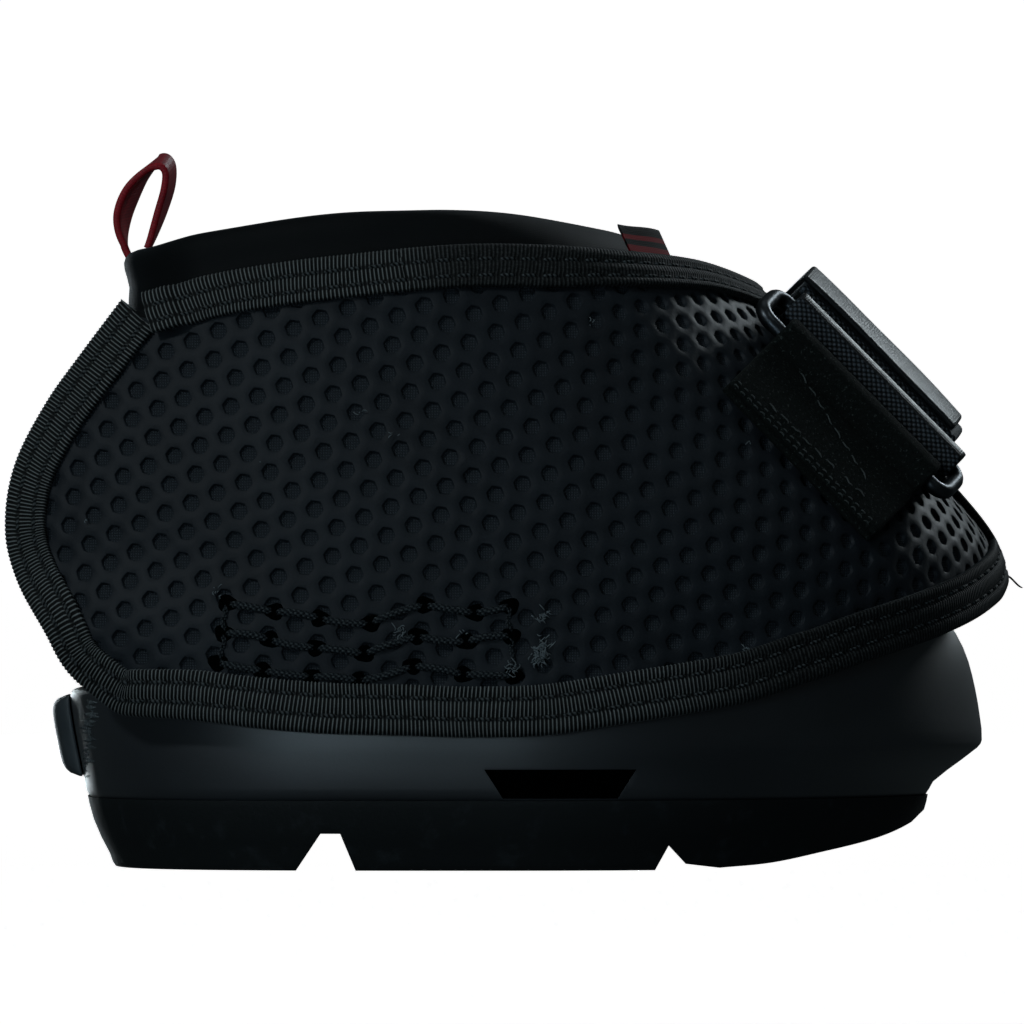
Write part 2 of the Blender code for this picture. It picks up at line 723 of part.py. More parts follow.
def tape(name, patch, side, base, edge, start, stop, width, held, stations):
    """A binding tape folded round one edge of a patch; held is what lies between its legs."""
    gap, proud, middle = TAPE_GAP, TAPE_PROUD, width * TAPE_BEND_SHARE
    section = ((width, gap), (width, proud), (middle, proud), (-proud, proud),
               (-proud, -held - proud), (middle, -held - proud), (width, -held - proud),
               (width, -held - gap), (middle, -held - gap), (-gap, -held - gap), (-gap, gap), (middle, gap))
    upward = edge in ("bottom", "top")
    rings = []
    for index in range(stations + 1):
        place = lerp(start, stop, index / stations)
        across, up = (place, 0.5) if upward else (0.5, place)
        span = patch_span(patch, side, base, across, up, upward)
        ring = []
        for inset, offset in section:
            share = inset / span if edge in ("bottom", "rear") else 1 - inset / span
            where = (place, share) if upward else (share, place)
            ring.append(patch_point(patch, side, base, where[0], where[1], offset))
        rings.append(ring)
    bm = bmesh.new()
    loops = [[bm.verts.new(point) for point in ring] for ring in rings]
    for first, second in zip(loops, loops[1:]):
        for index in range(len(section)):
            after = (index + 1) % len(section)
            bm.faces.new((first[index], first[after], second[after], second[index]))
    for loop in (loops[0], loops[-1]):
        for corners in ((0, 1, 2, 11), (11, 2, 3, 10), (10, 3, 4, 9), (9, 4, 5, 8), (8, 5, 6, 7)):
            bm.faces.new([loop[index] for index in corners])
    return finish(name, bm, *BLACK_TAPE)


def tape_limits(patch, side, base, across):
    """Where a rear or front tape starts and stops, clear of the bottom and top tapes."""
    span = patch_span(patch, side, base, across, 0.5, True)
    clear = TAPE_PROUD
    return (BOTTOM_TAPE_WIDTH + clear) / span, 1 - (TOP_TAPE_WIDTH + clear) / span


def make_side(name, side):
    patch = side_patch()
    sleeve_low = -SLEEVE_THICKNESS
    lining_high = -PANEL_THICKNESS - LAYER_GAP

    def lining_low(across):
        rim = UPPER_BOTTOM_Z + SIDE_RIM_RISE + LAYER_GAP + SHELL_LIP
        low, high = patch(across, 0)[1], patch(across, 1)[1]
        tape_top = (BOTTOM_TAPE_WIDTH + FOLD_GAP) / patch_span(patch, side, flat_offset, across, 0.5, True)
        return max((rim - low) / (high - low), tape_top)

    slab(name + "_panel", BLACK_FABRIC, patch, side, flat_offset, 16, 10, -PANEL_THICKNESS, 0.0)
    slab(name + "_lining", BLACK_NEOPRENE, patch, side, flat_offset, 16, 8, sleeve_low, lining_high,
         up=(lining_low, 1))
    tape(name + "_bottom_tape", patch, side, flat_offset, "bottom", 0.0, 1.0,
         BOTTOM_TAPE_WIDTH, PANEL_THICKNESS, 16)
    tape(name + "_top_tape", patch, side, flat_offset, "top", 0.0, 1.0,
         TOP_TAPE_WIDTH, SLEEVE_THICKNESS, 16)
    start, stop = tape_limits(patch, side, flat_offset, 0.0)
    tape(name + "_rear_tape", patch, side, flat_offset, "rear", start, stop,
         REAR_TAPE_WIDTH, SLEEVE_THICKNESS, 12)


def from_front(patch, side, base, distance):
    """The share across a patch that lies this far behind its front edge."""
    return lambda up: 1 - distance / patch_span(patch, side, base, 0.5, up, False)


def tucked_midline_share(patch):
    """Where the left flap's tapes stop, just short of the right flap's front edge."""
    share = 1 / (1 + FLAP_OVERLAP / UPPER_HALF_WIDTH / math.radians(FOLD_ANGLE))
    return share - (TAPE_PROUD + PATCH_MARGIN) / patch_span(patch, LEFT, tucked_offset, 0.5, 1.0, False)


def make_flap(name, side):
    tucked = side == LEFT
    patch = tucked_patch() if tucked else flap_patch()
    base = tucked_offset if tucked else flat_offset
    columns = 18 if tucked else 14
    lining_high = -PANEL_THICKNESS - LAYER_GAP
    pieces = [slab(name + "_flap", BLACK_FABRIC, patch, side, base, columns, 10, -PANEL_THICKNESS, 0.0)]
    lining_end = 1 if tucked else from_front(patch, side, base, FLAP_OVERLAP + PATCH_MARGIN)
    pieces.append(slab(name + "_flap_lining", BLACK_NEOPRENE, patch, side, base, columns, 10,
                       -SLEEVE_THICKNESS, lining_high, across=(0, lining_end)))
    near = from_front(patch, side, base, FRONT_TAPE_WIDTH + PATCH_MARGIN)
    if tucked:
        far = from_front(patch, side, base, FLAP_OVERLAP - FRONT_TAPE_WIDTH - 2 * PATCH_MARGIN)
        pieces.append(slab("left_loop_patch", PILE, patch, side, base, 3, 8, TAPE_GAP,
                           TAPE_GAP + PATCH_THICKNESS / 2, across=(far, near), up=(0.14, 0.76)))
    else:
        far = from_front(patch, side, base, FLAP_OVERLAP - PATCH_MARGIN)
        pieces.append(slab("right_hook_patch", PILE, patch, side, base, 3, 8, -SLEEVE_THICKNESS,
                           lining_high - LAYER_GAP, across=(far, near), up=(0.16, 0.86)))
    start, stop = tape_limits(patch, side, base, 1.0)
    end = tucked_midline_share(patch) if tucked else 1.0
    for edge, first, last, width, stations in (
            ("bottom", 0.0, end, BOTTOM_TAPE_WIDTH, 14), ("top", 0.0, end, TOP_TAPE_WIDTH, 14),
            ("front", start, stop, FRONT_TAPE_WIDTH, 10)):
        pieces.append(tape(name + "_flap_" + edge + "_tape", patch, side, base, edge, first, last,
                           width, SLEEVE_THICKNESS, stations))
    return pieces


def make_stitch_box(name, side):
    """Three rows of heavy thread joined by a column at each end, raised on the side panel."""
    columns = 12
    thread = THREAD_WIDTH
    xs = [0.0] + [lerp(thread, STITCH_BOX_LENGTH - thread, index / (columns - 2))
                  for index in range(columns - 1)] + [STITCH_BOX_LENGTH]
    middle = STITCH_BOX_HEIGHT / 2
    zs = (0.0, thread, middle - thread / 2, middle + thread / 2,
          STITCH_BOX_HEIGHT - thread, STITCH_BOX_HEIGHT)

    def point(column, row, skin):
        x = STITCH_BOX_REAR_X + xs[column]
        z = UPPER_BOTTOM_Z + STITCH_BOX_RISE + zs[row]
        return upper_point(angle_at(x, z), z, LAYER_GAP + skin * THREAD_HEIGHT, side)

    def keep(column, row):
        return row % 2 == 0 or column in (0, columns - 1)
    finish(name + "_stitch_box", grid_solid(point, columns, 5, keep), (0.03, 0.03, 0.035), 0.7)


# Collar and heel gusset

COLLAR_STATIONS = 160
COLLAR_SECTION_POINTS = 10


def crest_height(angle, middle):
    """The height on the surface that brings the crest, set in from it, to the collar's top line."""
    z = UPPER_BOTTOM_Z + UPPER_HEIGHT
    for _ in range(6):
        crest = upper_point(angle, z, middle, LEFT, True)
        z += collar_top_z(crest.x) - crest.z
    return z


def collar_path():
    """Angles evenly spaced along the collar's own length, front end to rear midline."""
    middle = -COLLAR_DEPTH - COLLAR_THICKNESS / 2
    places = []
    for index in range(COLLAR_STATIONS + 1):
        angle = math.pi * index / COLLAR_STATIONS
        low = top_z(plan_point(angle, UPPER_BOTTOM_Z + UPPER_HEIGHT, True).x) - COLLAR_TUCK
        high = crest_height(angle, middle)
        places.append((angle, upper_point(angle, (low + high) / 2, middle, LEFT, True), low, high))
    lengths = [0.0]
    for before, after in zip(places, places[1:]):
        lengths.append(lengths[-1] + (after[1] - before[1]).length)
    return places, lengths


def collar_length_at_x(x):
    places, lengths = collar_path()
    for place, length in zip(places, lengths):
        if place[1].x < x:
            return length
    return lengths[-1]


def collar_ring(length, side, swell=1.0, base=flat_offset):
    places, lengths = collar_path()
    angle = along([(station, place[0]) for station, place in zip(lengths, places)], length)
    low = along([(station, place[2]) for station, place in zip(lengths, places)], length)
    high = along([(station, place[3]) for station, place in zip(lengths, places)], length)
    ring = []
    for index in range(COLLAR_SECTION_POINTS):
        turn = 2 * math.pi * index / COLLAR_SECTION_POINTS
        up = powered(math.sin(turn), 2.5) * (high - low) / 2 * swell
        out = powered(math.cos(turn), 2.5) * COLLAR_THICKNESS / 2 * swell
        offset = base(angle) - COLLAR_DEPTH - COLLAR_THICKNESS / 2 + out
        ring.append(upper_point(angle, (low + high) / 2 + up, offset, side, True))
    return ring


def make_collar_back():
    start = collar_length_at_x(FOLD_TOP_X - FOLD_GAP)
    stop = collar_path()[1][-1]
    count = 15
    right = [collar_ring(lerp(start, stop, index / count), RIGHT) for index in range(count)]
    left = [collar_ring(lerp(start, stop, index / count), LEFT) for index in range(count + 1)]
    finish("collar_back", ring_solid(right + list(reversed(left))), *BLACK_NEOPRENE)


COLLAR_FRONT_SHARE = 0.672
COLLAR_END_POWER = 1.3
COLLAR_SWELL_SHARES = (0.66, 0.92, 1.0, 1.0, 1.0, 1.0, 1.0)


def make_collar_front(name, side):
    start = collar_length_at_x(UPPER_REAR_X + COLLAR_FRONT_SHARE * UPPER_LENGTH - COLLAR_THICKNESS / 2)
    stop = collar_length_at_x(FOLD_TOP_X + FOLD_GAP)
    last = len(COLLAR_SWELL_SHARES) - 1
    rings = [collar_ring(lerp(start, stop, (index / last) ** COLLAR_END_POWER), side, swell,
                         tucked_offset if side == LEFT else flat_offset)
             for index, swell in enumerate(COLLAR_SWELL_SHARES)]
    return finish(name + "_collar_front", ring_solid(rings), *BLACK_NEOPRENE)


def make_gusset():
    """Stretch fabric that closes the heel between the two wings."""
    columns, rows = 16, 8
    tuck = -COLLAR_DEPTH - LAYER_GAP
    heel_z = UPPER_BOTTOM_Z + HEEL_RIM_RISE
    side_z = UPPER_BOTTOM_Z + SIDE_RIM_RISE
    high = top_z(COLLAR_REAR_X) - COLLAR_TUCK - LAYER_GAP

    def point(column, row, skin):
        across = lerp(-1, 1, column / columns)
        up = row / rows
        z = lerp(heel_z + (side_z - heel_z) * across ** 2 + LAYER_GAP, high, up)
        share = (z - UPPER_BOTTOM_Z) / UPPER_HEIGHT
        edge_x = UPPER_REAR_X + UPPER_LENGTH * along(REAR_EDGE_SHARES, share) + GUSSET_TUCK
        edge = upper_point(angle_at(edge_x, z), z, tuck, LEFT)
        middle_x = lerp(SHELL_REAR_X + SHELL_WALL / 2, COLLAR_REAR_X + COLLAR_THICKNESS / 2, up)
        middle_x -= GUSSET_BULGE * math.sin(math.pi * up)
        bend = abs(across) ** lerp(SHELL_HEEL_POWER, 2.0, up)
        place = Vector((lerp(middle_x, edge.x, bend), across * edge.y, z))
        forward = Vector((1 - 0.5 * across ** 2, -across, 0)).normalized()
        return place + forward * GUSSET_THICKNESS * (1 - skin)
    finish("heel_gusset", grid_solid(point, columns, rows), *BLACK_NEOPRENE)


def make_size_tab():
    """A label that stands on the collar's outer face above the tape, leaning to the rear."""
    lean = Vector((-TAB_LEAN, -RIGHT * TAB_LEAN / 2, TAB_HEIGHT))

    def point(column, row, skin):
        x = TAB_CENTRE_X + TAB_WIDTH * (column / 4 - 0.5)
        offset = -COLLAR_DEPTH + LAYER_GAP + skin * TAB_THICKNESS
        z = top_z(surface_x(x, UPPER_BOTTOM_Z + UPPER_HEIGHT, offset)) + TAPE_PROUD + LAYER_GAP
        return upper_point(angle_at(surface_x(x, z, offset), z), z, offset, RIGHT) + lean * row / 2
    return finish("size_tab", grid_solid(point, 4, 2), *BLACK_FABRIC)


# Strap across the front: its own frame lies on the dorsal line

STRAP_ORIGIN = Vector((front_x(STRAP_OFFSET_UP), 0, STRAP_OFFSET_UP))
DOWN = Vector((DORSAL_SLOPE, 0, -1)).normalized()
OUT = Vector((1, 0, DORSAL_SLOPE)).normalized()
ACROSS = Vector((0, 1, 0))
BAND_PROFILE_STEPS = 24
BAND_PROFILE_ANGLE = 62.0


def band_profile(down):
    """The upper's height over the strap frame against the distance from the midline."""
    rows = []
    for index in range(BAND_PROFILE_STEPS + 1):
        angle = math.radians(BAND_PROFILE_ANGLE) * index / BAND_PROFILE_STEPS
        low, high = UPPER_BOTTOM_Z, UPPER_BOTTOM_Z + UPPER_HEIGHT + COLLAR_RISE
        for _ in range(40):
            middle = (low + high) / 2
            if (plan_point(angle, middle) - STRAP_ORIGIN).dot(DOWN) > down:
                low = middle
            else:
                high = middle
        point = plan_point(angle, low)
        rows.append((point.y, (point - STRAP_ORIGIN).dot(OUT), angle))
    return rows


BAND_DOWNS = (-STRAP_WIDTH / 2, 0.0, STRAP_WIDTH / 2)
BAND_PROFILES = [[row[:2] for row in band_profile(down)] for down in BAND_DOWNS]
BAND_ANGLES = [(row[0], row[2]) for row in band_profile(0.0)]
TUCK_EASE_START = 0.0040
TUCK_EASE_LENGTH = 0.0180


def band_height(y, down=None):
    """Height of the upper under the strap; without down, the highest across the strap's width."""
    heights = [along(profile, abs(y)) for profile in BAND_PROFILES]
    if down is None:
        height = max(heights)
    else:
        share = (down - BAND_DOWNS[0]) / STRAP_WIDTH
        height = along(list(zip((0.0, 0.5, 1.0), heights)), share)
    if y > TUCK_EASE_START:
        recess = tucked_offset(along(BAND_ANGLES, y))
        height += recess * ease((y - TUCK_EASE_START) / TUCK_EASE_LENGTH)
    return height


def over_band(y, height, down=None):
    """A (sideways, outward) point this far above the upper in the strap frame."""
    step = STEP_SHARE * STRAP_WIDTH
    slope = (band_height(y + step, down) - band_height(y - step, down)) / (2 * step)
    scale = math.hypot(1, slope)
    return Vector((y - height * slope / scale, band_height(y, down) + height / scale))


def strap_place(point, down):
    return STRAP_ORIGIN + ACROSS * point.x + OUT * point.y + DOWN * down


def thicken(path, thickness):
    """Both faces of a ribbon whose middle follows a path of (sideways, outward) points."""
    faces = []
    for index, point in enumerate(path):
        before, after = path[max(index - 1, 0)], path[min(index + 1, len(path) - 1)]
        run = (after - before).normalized()
        normal = Vector((-run.y, run.x)) * thickness / 2
        faces.append((point - normal, point + normal))
    return faces


def ribbon(name, look, path, thickness, width, path_low=None):
    """A band with straight edges; path_low gives the path of its lower edge if that differs."""
    upper = thicken(path, thickness)
    lower = thicken(path_low or path, thickness)
    rings = [(strap_place(top[0], -width / 2), strap_place(top[1], -width / 2),
              strap_place(bottom[1], width / 2), strap_place(bottom[0], width / 2))
             for top, bottom in zip(upper, lower)]
    return finish(name, ring_solid(rings), *look)


def spaced(start, stop, count):
    return [lerp(start, stop, index / (count - 1)) for index in range(count)]


STRIP_LOW = STRAP_LIFT + STRAP_THICKNESS + LAYER_GAP
HOOK_LOW = STRIP_LOW + STRIP_THICKNESS + LAYER_GAP
TAIL_LOW = HOOK_LOW + STRIP_THICKNESS + LAYER_GAP
COVER_LOW = TAIL_LOW + STRAP_THICKNESS + LAYER_GAP
BASE_MIDDLE = STRAP_LIFT + STRAP_THICKNESS / 2
TAIL_MIDDLE = TAIL_LOW + STRAP_THICKNESS / 2
FRONT_BAR_HEIGHT = (BASE_MIDDLE + TAIL_MIDDLE) / 2
EYE_RADIUS = WIRE_DIAMETER / 2 + WIRE_CLEARANCE
FOLD_RADIUS = EYE_RADIUS + STRAP_THICKNESS / 2
REAR_BAR_REACH = RING_BAR_REACH + RING_BAR_SPACING
TAB_RADIUS = EYE_RADIUS + RING_TAB_THICKNESS / 2
TAB_LOW_MIDDLE = SEAT_GAP + RING_TAB_THICKNESS / 2
REAR_BAR_HEIGHT = TAB_LOW_MIDDLE + TAB_RADIUS
FRONT_BAR = over_band(-RING_BAR_REACH, FRONT_BAR_HEIGHT)
REAR_BAR = over_band(-REAR_BAR_REACH, REAR_BAR_HEIGHT)


def make_strap():
    path = [over_band(y, BASE_MIDDLE) for y in spaced(STRAP_LEFT_REACH, LAYER_GAP - TAIL_START, 15)]
    for index in range(9):
        turn = math.radians(-90 - 180 * index / 8)
        path.append(over_band(-RING_BAR_REACH + FOLD_RADIUS * math.cos(turn),
                              FRONT_BAR_HEIGHT + FOLD_RADIUS * math.sin(turn)))
    path.append(over_band(-TAIL_START - LAYER_GAP, TAIL_MIDDLE))
    strap = ribbon("strap_base", BLACK_TAPE, path, STRAP_THICKNESS, STRAP_WIDTH)
    strip_ys = spaced(STRAP_LEFT_REACH - PATCH_MARGIN, LAYER_GAP - TAIL_START, 13)
    strip = ribbon("strap_loop_strip", PILE, [over_band(y, STRIP_LOW + STRIP_THICKNESS / 2) for y in strip_ys],
                   STRIP_THICKNESS, STRAP_WIDTH - PATCH_MARGIN)
    return [strap, strip]


def make_strap_patch():
    """The pad on the left flap that the strap's end fastens to."""
    ys = spaced(STRAP_LEFT_REACH, STRAP_LEFT_REACH - STRAP_WIDTH / 2 + PATCH_MARGIN, 5)
    thickness = PATCH_THICKNESS / 2
    middle = 2 * SEAT_GAP + thickness / 2
    low, high = STRAP_WIDTH / 2, -STRAP_WIDTH / 2
    return ribbon("left_strap_patch", PILE, [over_band(y, middle, high) for y in ys], thickness,
                  STRAP_WIDTH, [over_band(y, middle, low) for y in ys])


def make_tail():
    start, stop = STRAP_LEFT_REACH - PATCH_MARGIN, -TAIL_START
    pieces = []
    for name, look, low, thickness, inset in (
            ("strap_tail", BLACK_TAPE, TAIL_LOW, STRAP_THICKNESS, 0.0),
            ("tail_hook_pad", PILE, HOOK_LOW, STRIP_THICKNESS, PATCH_MARGIN),
            ("strap_cover", BLACK_NEOPRENE, COVER_LOW, COVER_THICKNESS, 0.0)):
        path = [over_band(y, low + thickness / 2) for y in spaced(start - inset, stop, 14)]
        pieces.append(ribbon(name, look, path, thickness, STRAP_WIDTH - inset))
    return pieces


def make_ring_tab():
    """Pile webbing folded round the ring's rear bar and sewn flat to the right flap."""
    layer_gap = LAYER_GAP + RING_TAB_THICKNESS
    paths = []
    for down in (-RING_TAB_WIDTH / 2, RING_TAB_WIDTH / 2):
        def place(reach, height):
            own = over_band(-reach, height, down)
            common = over_band(-reach, height)
            return common.lerp(own, ease((reach - REAR_BAR_REACH - EYE_RADIUS) / FOLD_RADIUS))

        rear = REAR_BAR_REACH + RING_TAB_LENGTH
        near = REAR_BAR_REACH + TAB_RADIUS + RING_TAB_THICKNESS
        path = [place(reach, TAB_LOW_MIDDLE) for reach in spaced(rear, near, 5)]
        for index in range(9):
            turn = math.radians(-90 + 240 * index / 8)
            path.append(place(REAR_BAR_REACH - TAB_RADIUS * math.cos(turn),
                              REAR_BAR_HEIGHT + TAB_RADIUS * math.sin(turn)))
        path += [place(reach, TAB_LOW_MIDDLE + layer_gap) for reach in spaced(near, rear, 5)]
        paths.append(path)
    return ribbon("ring_tab", PILE, paths[0], RING_TAB_THICKNESS, RING_TAB_WIDTH, paths[1])


def wire_loop(name, centre, half_long, half_short, long_axis, short_axis, corner):
    """A closed wire ring of rounded-rectangle outline."""
    curve = bpy.data.curves.new(name, "CURVE")
    curve.dimensions = "3D"
    curve.bevel_depth = WIRE_DIAMETER / 2
    curve.bevel_resolution = 2
    spline = curve.splines.new("POLY")
    points = []
    for quarter, (long_sign, short_sign) in enumerate(((1, 1), (-1, 1), (-1, -1), (1, -1))):
        for index in range(5):
            turn = math.radians(90 * quarter + 22.5 * index)
            points.append(centre + long_axis * (long_sign * (half_long - corner) + corner * math.cos(turn))
                          + short_axis * (short_sign * (half_short - corner) + corner * math.sin(turn)))
    spline.points.add(len(points) - 1)
    for target, point in zip(spline.points, points):
        target.co = (*point, 1)
    spline.use_cyclic_u = True
    piece = bpy.data.objects.new(name, curve)
    bpy.context.scene.collection.objects.link(piece)
    paint(piece, *WIRE_METAL, 1.0)
    return piece


def make_ring():
    front, rear = strap_place(FRONT_BAR, 0), strap_place(REAR_BAR, 0)
    half_long = STRAP_WIDTH / 2 + RING_END_CLEARANCE + WIRE_DIAMETER / 2
    short_axis = (front - rear).normalized()
    return wire_loop("ring", (front + rear) / 2, half_long, (front - rear).length / 2, DOWN, short_axis,
                     WIRE_DIAMETER)


# Pull loop at the heel

def loop_foot():
    """The crest of the collar at the back."""
    ring = collar_ring(collar_path()[1][-1], RIGHT)
    crest = max(ring, key=lambda point: point.z)
    return Vector((COLLAR_REAR_X + LOOP_BULGE * LOOP_SETBACK_SHARE, 0, crest.z))


LOOP_SETBACK_SHARE = 0.70
LOOP_STEPS = 22
LOOP_SHARES = ((-0.24, 0.02), (-0.60, 0.10), (-0.82, 0.27), (-0.74, 0.48), (-0.50, 0.72), (-0.22, 0.92),
               (0.00, 1.00), (0.16, 0.90), (0.20, 0.72), (0.19, 0.50), (0.19, 0.25), (0.20, 0.02))
LOOP_FOOT = loop_foot()


def make_pull_loop():
    """A ribbon loop that stands on the back of the collar, bulging to the rear."""
    along_x = [(number, pair[0]) for number, pair in enumerate(LOOP_SHARES)]
    along_z = [(number, pair[1]) for number, pair in enumerate(LOOP_SHARES)]
    path = []
    for index in range(LOOP_STEPS + 1):
        place = index / LOOP_STEPS * (len(LOOP_SHARES) - 1)
        path.append(Vector((LOOP_BULGE * along(along_x, place), LOOP_HEIGHT * along(along_z, place))))
    rings = []
    for low, high in thicken(path, LOOP_THICKNESS):
        corners = ((low, -1), (high, -1), (high, 1), (low, 1))
        rings.append([LOOP_FOOT + Vector((place.x, sign * LOOP_WIDTH / 2, place.y + SEAT_GAP))
                      for place, sign in corners])
    return finish("pull_loop", ring_solid(rings), *RED_RIBBON)


# Joints: each moving group hangs from an empty on its axis

def axis_place(side):
    """The fold line, moved out to the face of the tapes."""
    along_surface = plan_point(math.radians(FOLD_ANGLE) - STEP_SHARE, WAIST_Z) - FOLD_LOW
    outward = Vector((-along_surface.y, along_surface.x, 0)).normalized()
    if outward.y < 0:
        outward.negate()
    place = FOLD_LOW + outward * (TAPE_PROUD + LAYER_GAP)
    return Vector((place.x, side * place.y, place.z))


def carry(name, pieces, place, parent=None):
    hinge = bpy.data.objects.new(name + "_axis", None)
    hinge.empty_display_size = STRAP_WIDTH / 2
    hinge.location = place
    bpy.context.scene.collection.objects.link(hinge)
    bpy.context.view_layer.update()
    if parent:
        hinge.parent = parent
        hinge.matrix_parent_inverse = parent.matrix_world.inverted()
    for piece in pieces:
        piece.parent = hinge
        piece.matrix_parent_inverse = hinge.matrix_world.inverted()
    return hinge


def main():
    for piece in list(bpy.data.objects):
        bpy.data.objects.remove(piece, do_unlink=True)
    make_outsole()
    make_shell()
    make_bumper()
    for name, side in SIDES:
        make_side(name, side)
        make_stitch_box(name, side)
    make_collar_back()
    make_gusset()
    right_pieces = make_flap("right", RIGHT)
    right_pieces += [make_collar_front("right", RIGHT), make_size_tab(), make_ring_tab()]
    left_pieces = make_flap("left", LEFT) + [make_collar_front("left", LEFT), make_strap_patch()]
    right_hinge = carry("right_flap", right_pieces, axis_place(RIGHT))
    carry("left_flap", left_pieces, axis_place(LEFT))
    ring_hinge = carry("ring", [make_ring()], strap_place(REAR_BAR, 0), right_hinge)
    strap_hinge = carry("strap", make_strap(), strap_place(FRONT_BAR, 0), ring_hinge)
    peel = over_band(-TAIL_START, COVER_LOW + COVER_THICKNESS + LAYER_GAP)
    carry("tail", make_tail(), strap_place(peel, 0), strap_hinge)
    carry("pull_loop", [make_pull_loop()], LOOP_FOOT)


main()
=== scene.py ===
import math
import numpy as np
import bpy
import bmesh
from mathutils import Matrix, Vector


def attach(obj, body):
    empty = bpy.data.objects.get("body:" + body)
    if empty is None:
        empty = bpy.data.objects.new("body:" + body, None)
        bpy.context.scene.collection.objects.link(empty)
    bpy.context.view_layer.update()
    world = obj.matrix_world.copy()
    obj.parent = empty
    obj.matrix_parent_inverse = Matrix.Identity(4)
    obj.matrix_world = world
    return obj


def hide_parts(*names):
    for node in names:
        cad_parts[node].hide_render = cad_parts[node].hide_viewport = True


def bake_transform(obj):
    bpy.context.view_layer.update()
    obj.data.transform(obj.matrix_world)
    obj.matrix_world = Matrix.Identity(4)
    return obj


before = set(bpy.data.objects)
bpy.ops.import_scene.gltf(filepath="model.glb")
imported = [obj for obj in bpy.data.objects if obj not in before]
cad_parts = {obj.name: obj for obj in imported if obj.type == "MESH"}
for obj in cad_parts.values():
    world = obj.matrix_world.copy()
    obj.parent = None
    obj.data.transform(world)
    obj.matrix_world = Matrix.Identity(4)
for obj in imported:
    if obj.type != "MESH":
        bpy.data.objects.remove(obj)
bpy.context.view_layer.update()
print("frame loaded:", len(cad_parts), "nodes")

mm = 0.001
rightSide, leftSide = -1, 1
sideNames = {rightSide: "right", leftSide: "left"}


# Numbers that work on arrays

def lerp(start, stop, share):
    return start + (stop - start) * share


def ease(share):
    share = np.clip(share, 0, 1)
    return share * share * (3 - 2 * share)


def along(table, position):  # smooth reading of (position, value) pairs
    places, values = np.array(table, float).T
    position = np.clip(position, places[0], places[-1])
    right = np.clip(np.searchsorted(places, position), 1, len(places) - 1)
    left = right - 1
    widths = np.diff(places)
    slopes = np.diff(values) / widths
    tilts = np.concatenate(([slopes[0]], (values[2:] - values[:-2]) / (places[2:] - places[:-2]), [slopes[-1]]))
    share = (position - places[left]) / widths[left]
    square, cube = share ** 2, share ** 3
    return ((2 * cube - 3 * square + 1) * values[left] + (cube - 2 * square + share) * widths[left] * tilts[left]
            + (3 * square - 2 * cube) * values[right] + (cube - square) * widths[left] * tilts[right])


def softRamp(distance, rounding):
    return (distance + np.hypot(distance, rounding)) / 2


def powered(value, power):
    return np.sign(value) * np.abs(value) ** (2 / power)


def pathLengths(points):
    steps = np.linalg.norm(np.diff(points, axis=0), axis=1)
    return np.concatenate(([0.0], np.cumsum(steps)))


def unit(vectors):
    return vectors / np.linalg.norm(vectors, axis=-1, keepdims=True)


def joined(*values):  # points from arrays that fit together
    return np.stack(np.broadcast_arrays(*values), axis=-1)


def leftOf(way):
    return joined(-way[..., 1], way[..., 0])


def turnsRound(count):
    return np.linspace(0, 2 * math.pi, count, endpoint=False)


# The upper's outer surface: an angle round the hoof (0 at the toe) and a height

upper = {
    "rearX": -0.0845, "frontX": 0.0781, "bottomZ": 0.0215, "height": 0.0793, "waistZ": 0.0520,
    "cupHalfWidth": 0.070, "cupGap": 0.0008, "dorsalSlope": 0.99, "centreLean": 0.311, "sideLean": 0.333,
    "centreShare": 0.4766,
    "dorsalRounding": 0.006, "sideRounding": 0.012, "wingShares": (0.455, 0.716), "wingLean": 0.622,
    "toePower": 2.3, "wingLowPower": 3.6, "collarPower": 3.6, "collarRearX": -0.0665, "collarRise": 0.0059,
    "panel": 0.0022, "lining": 0.0012, "layerGap": 0.0003, "tapeGap": 0.0005, "tapeThickness": 0.0008,
    "foldAngle": math.radians(66), "foldGap": 0.0008, "overlap": 0.024, "tuckShares": (0.18, 0.50)}
upper["length"] = upper["frontX"] - upper["rearX"]
upper["topZ"] = upper["bottomZ"] + upper["height"]
upper["proud"] = upper["tapeGap"] + upper["tapeThickness"]
upper["halfWidth"] = upper["cupHalfWidth"] + upper["cupGap"] + upper["proud"] + upper["layerGap"] + upper["panel"]
upper["sleeve"] = upper["panel"] + upper["layerGap"] + upper["lining"]
upper["recess"] = upper["sleeve"] + upper["proud"] + 2 * upper["layerGap"]
upper["collarDepth"] = upper["sleeve"] + upper["proud"] + upper["layerGap"]

edgeShares = {
    "bottom": ((0.110, 0.059), (0.211, 0.027), (0.304, 0.009), (0.393, 0.004), (0.451, 0.000), (0.531, 0.004),
               (0.611, 0.028), (0.691, 0.054), (0.742, 0.076), (0.842, 0.149), (0.931, 0.211), (0.983, 0.270),
               (0.996, 0.320), (1.000, 0.362)),
    "top": ((0.117, 0.890), (0.147, 0.908), (0.192, 0.937), (0.256, 0.961), (0.336, 0.981), (0.438, 1.000),
            (0.524, 1.000), (0.620, 0.985), (0.676, 0.970), (0.708, 0.951), (0.740, 0.923), (0.761, 0.898)),
    "rear": ((0.059, 0.110), (0.140, 0.063), (0.223, 0.039), (0.322, 0.012), (0.420, 0.000), (0.545, 0.008),
             (0.672, 0.039), (0.770, 0.073), (0.890, 0.117)),
    "collar": ((0.111, -0.12), (0.137, 0.02), (0.154, 0.14), (0.175, 0.29), (0.218, 0.49), (0.261, 0.69),
               (0.303, 0.85), (0.346, 0.95), (0.408, 1.00), (0.464, 0.92), (0.531, 0.71), (0.607, 0.40),
               (0.660, 0.20), (0.686, 0.02), (0.704, -0.25))}


def centreX(z):
    lean = upper["centreLean"] * softRamp(z - upper["waistZ"], upper["sideRounding"])
    return upper["rearX"] + upper["centreShare"] * upper["length"] - lean


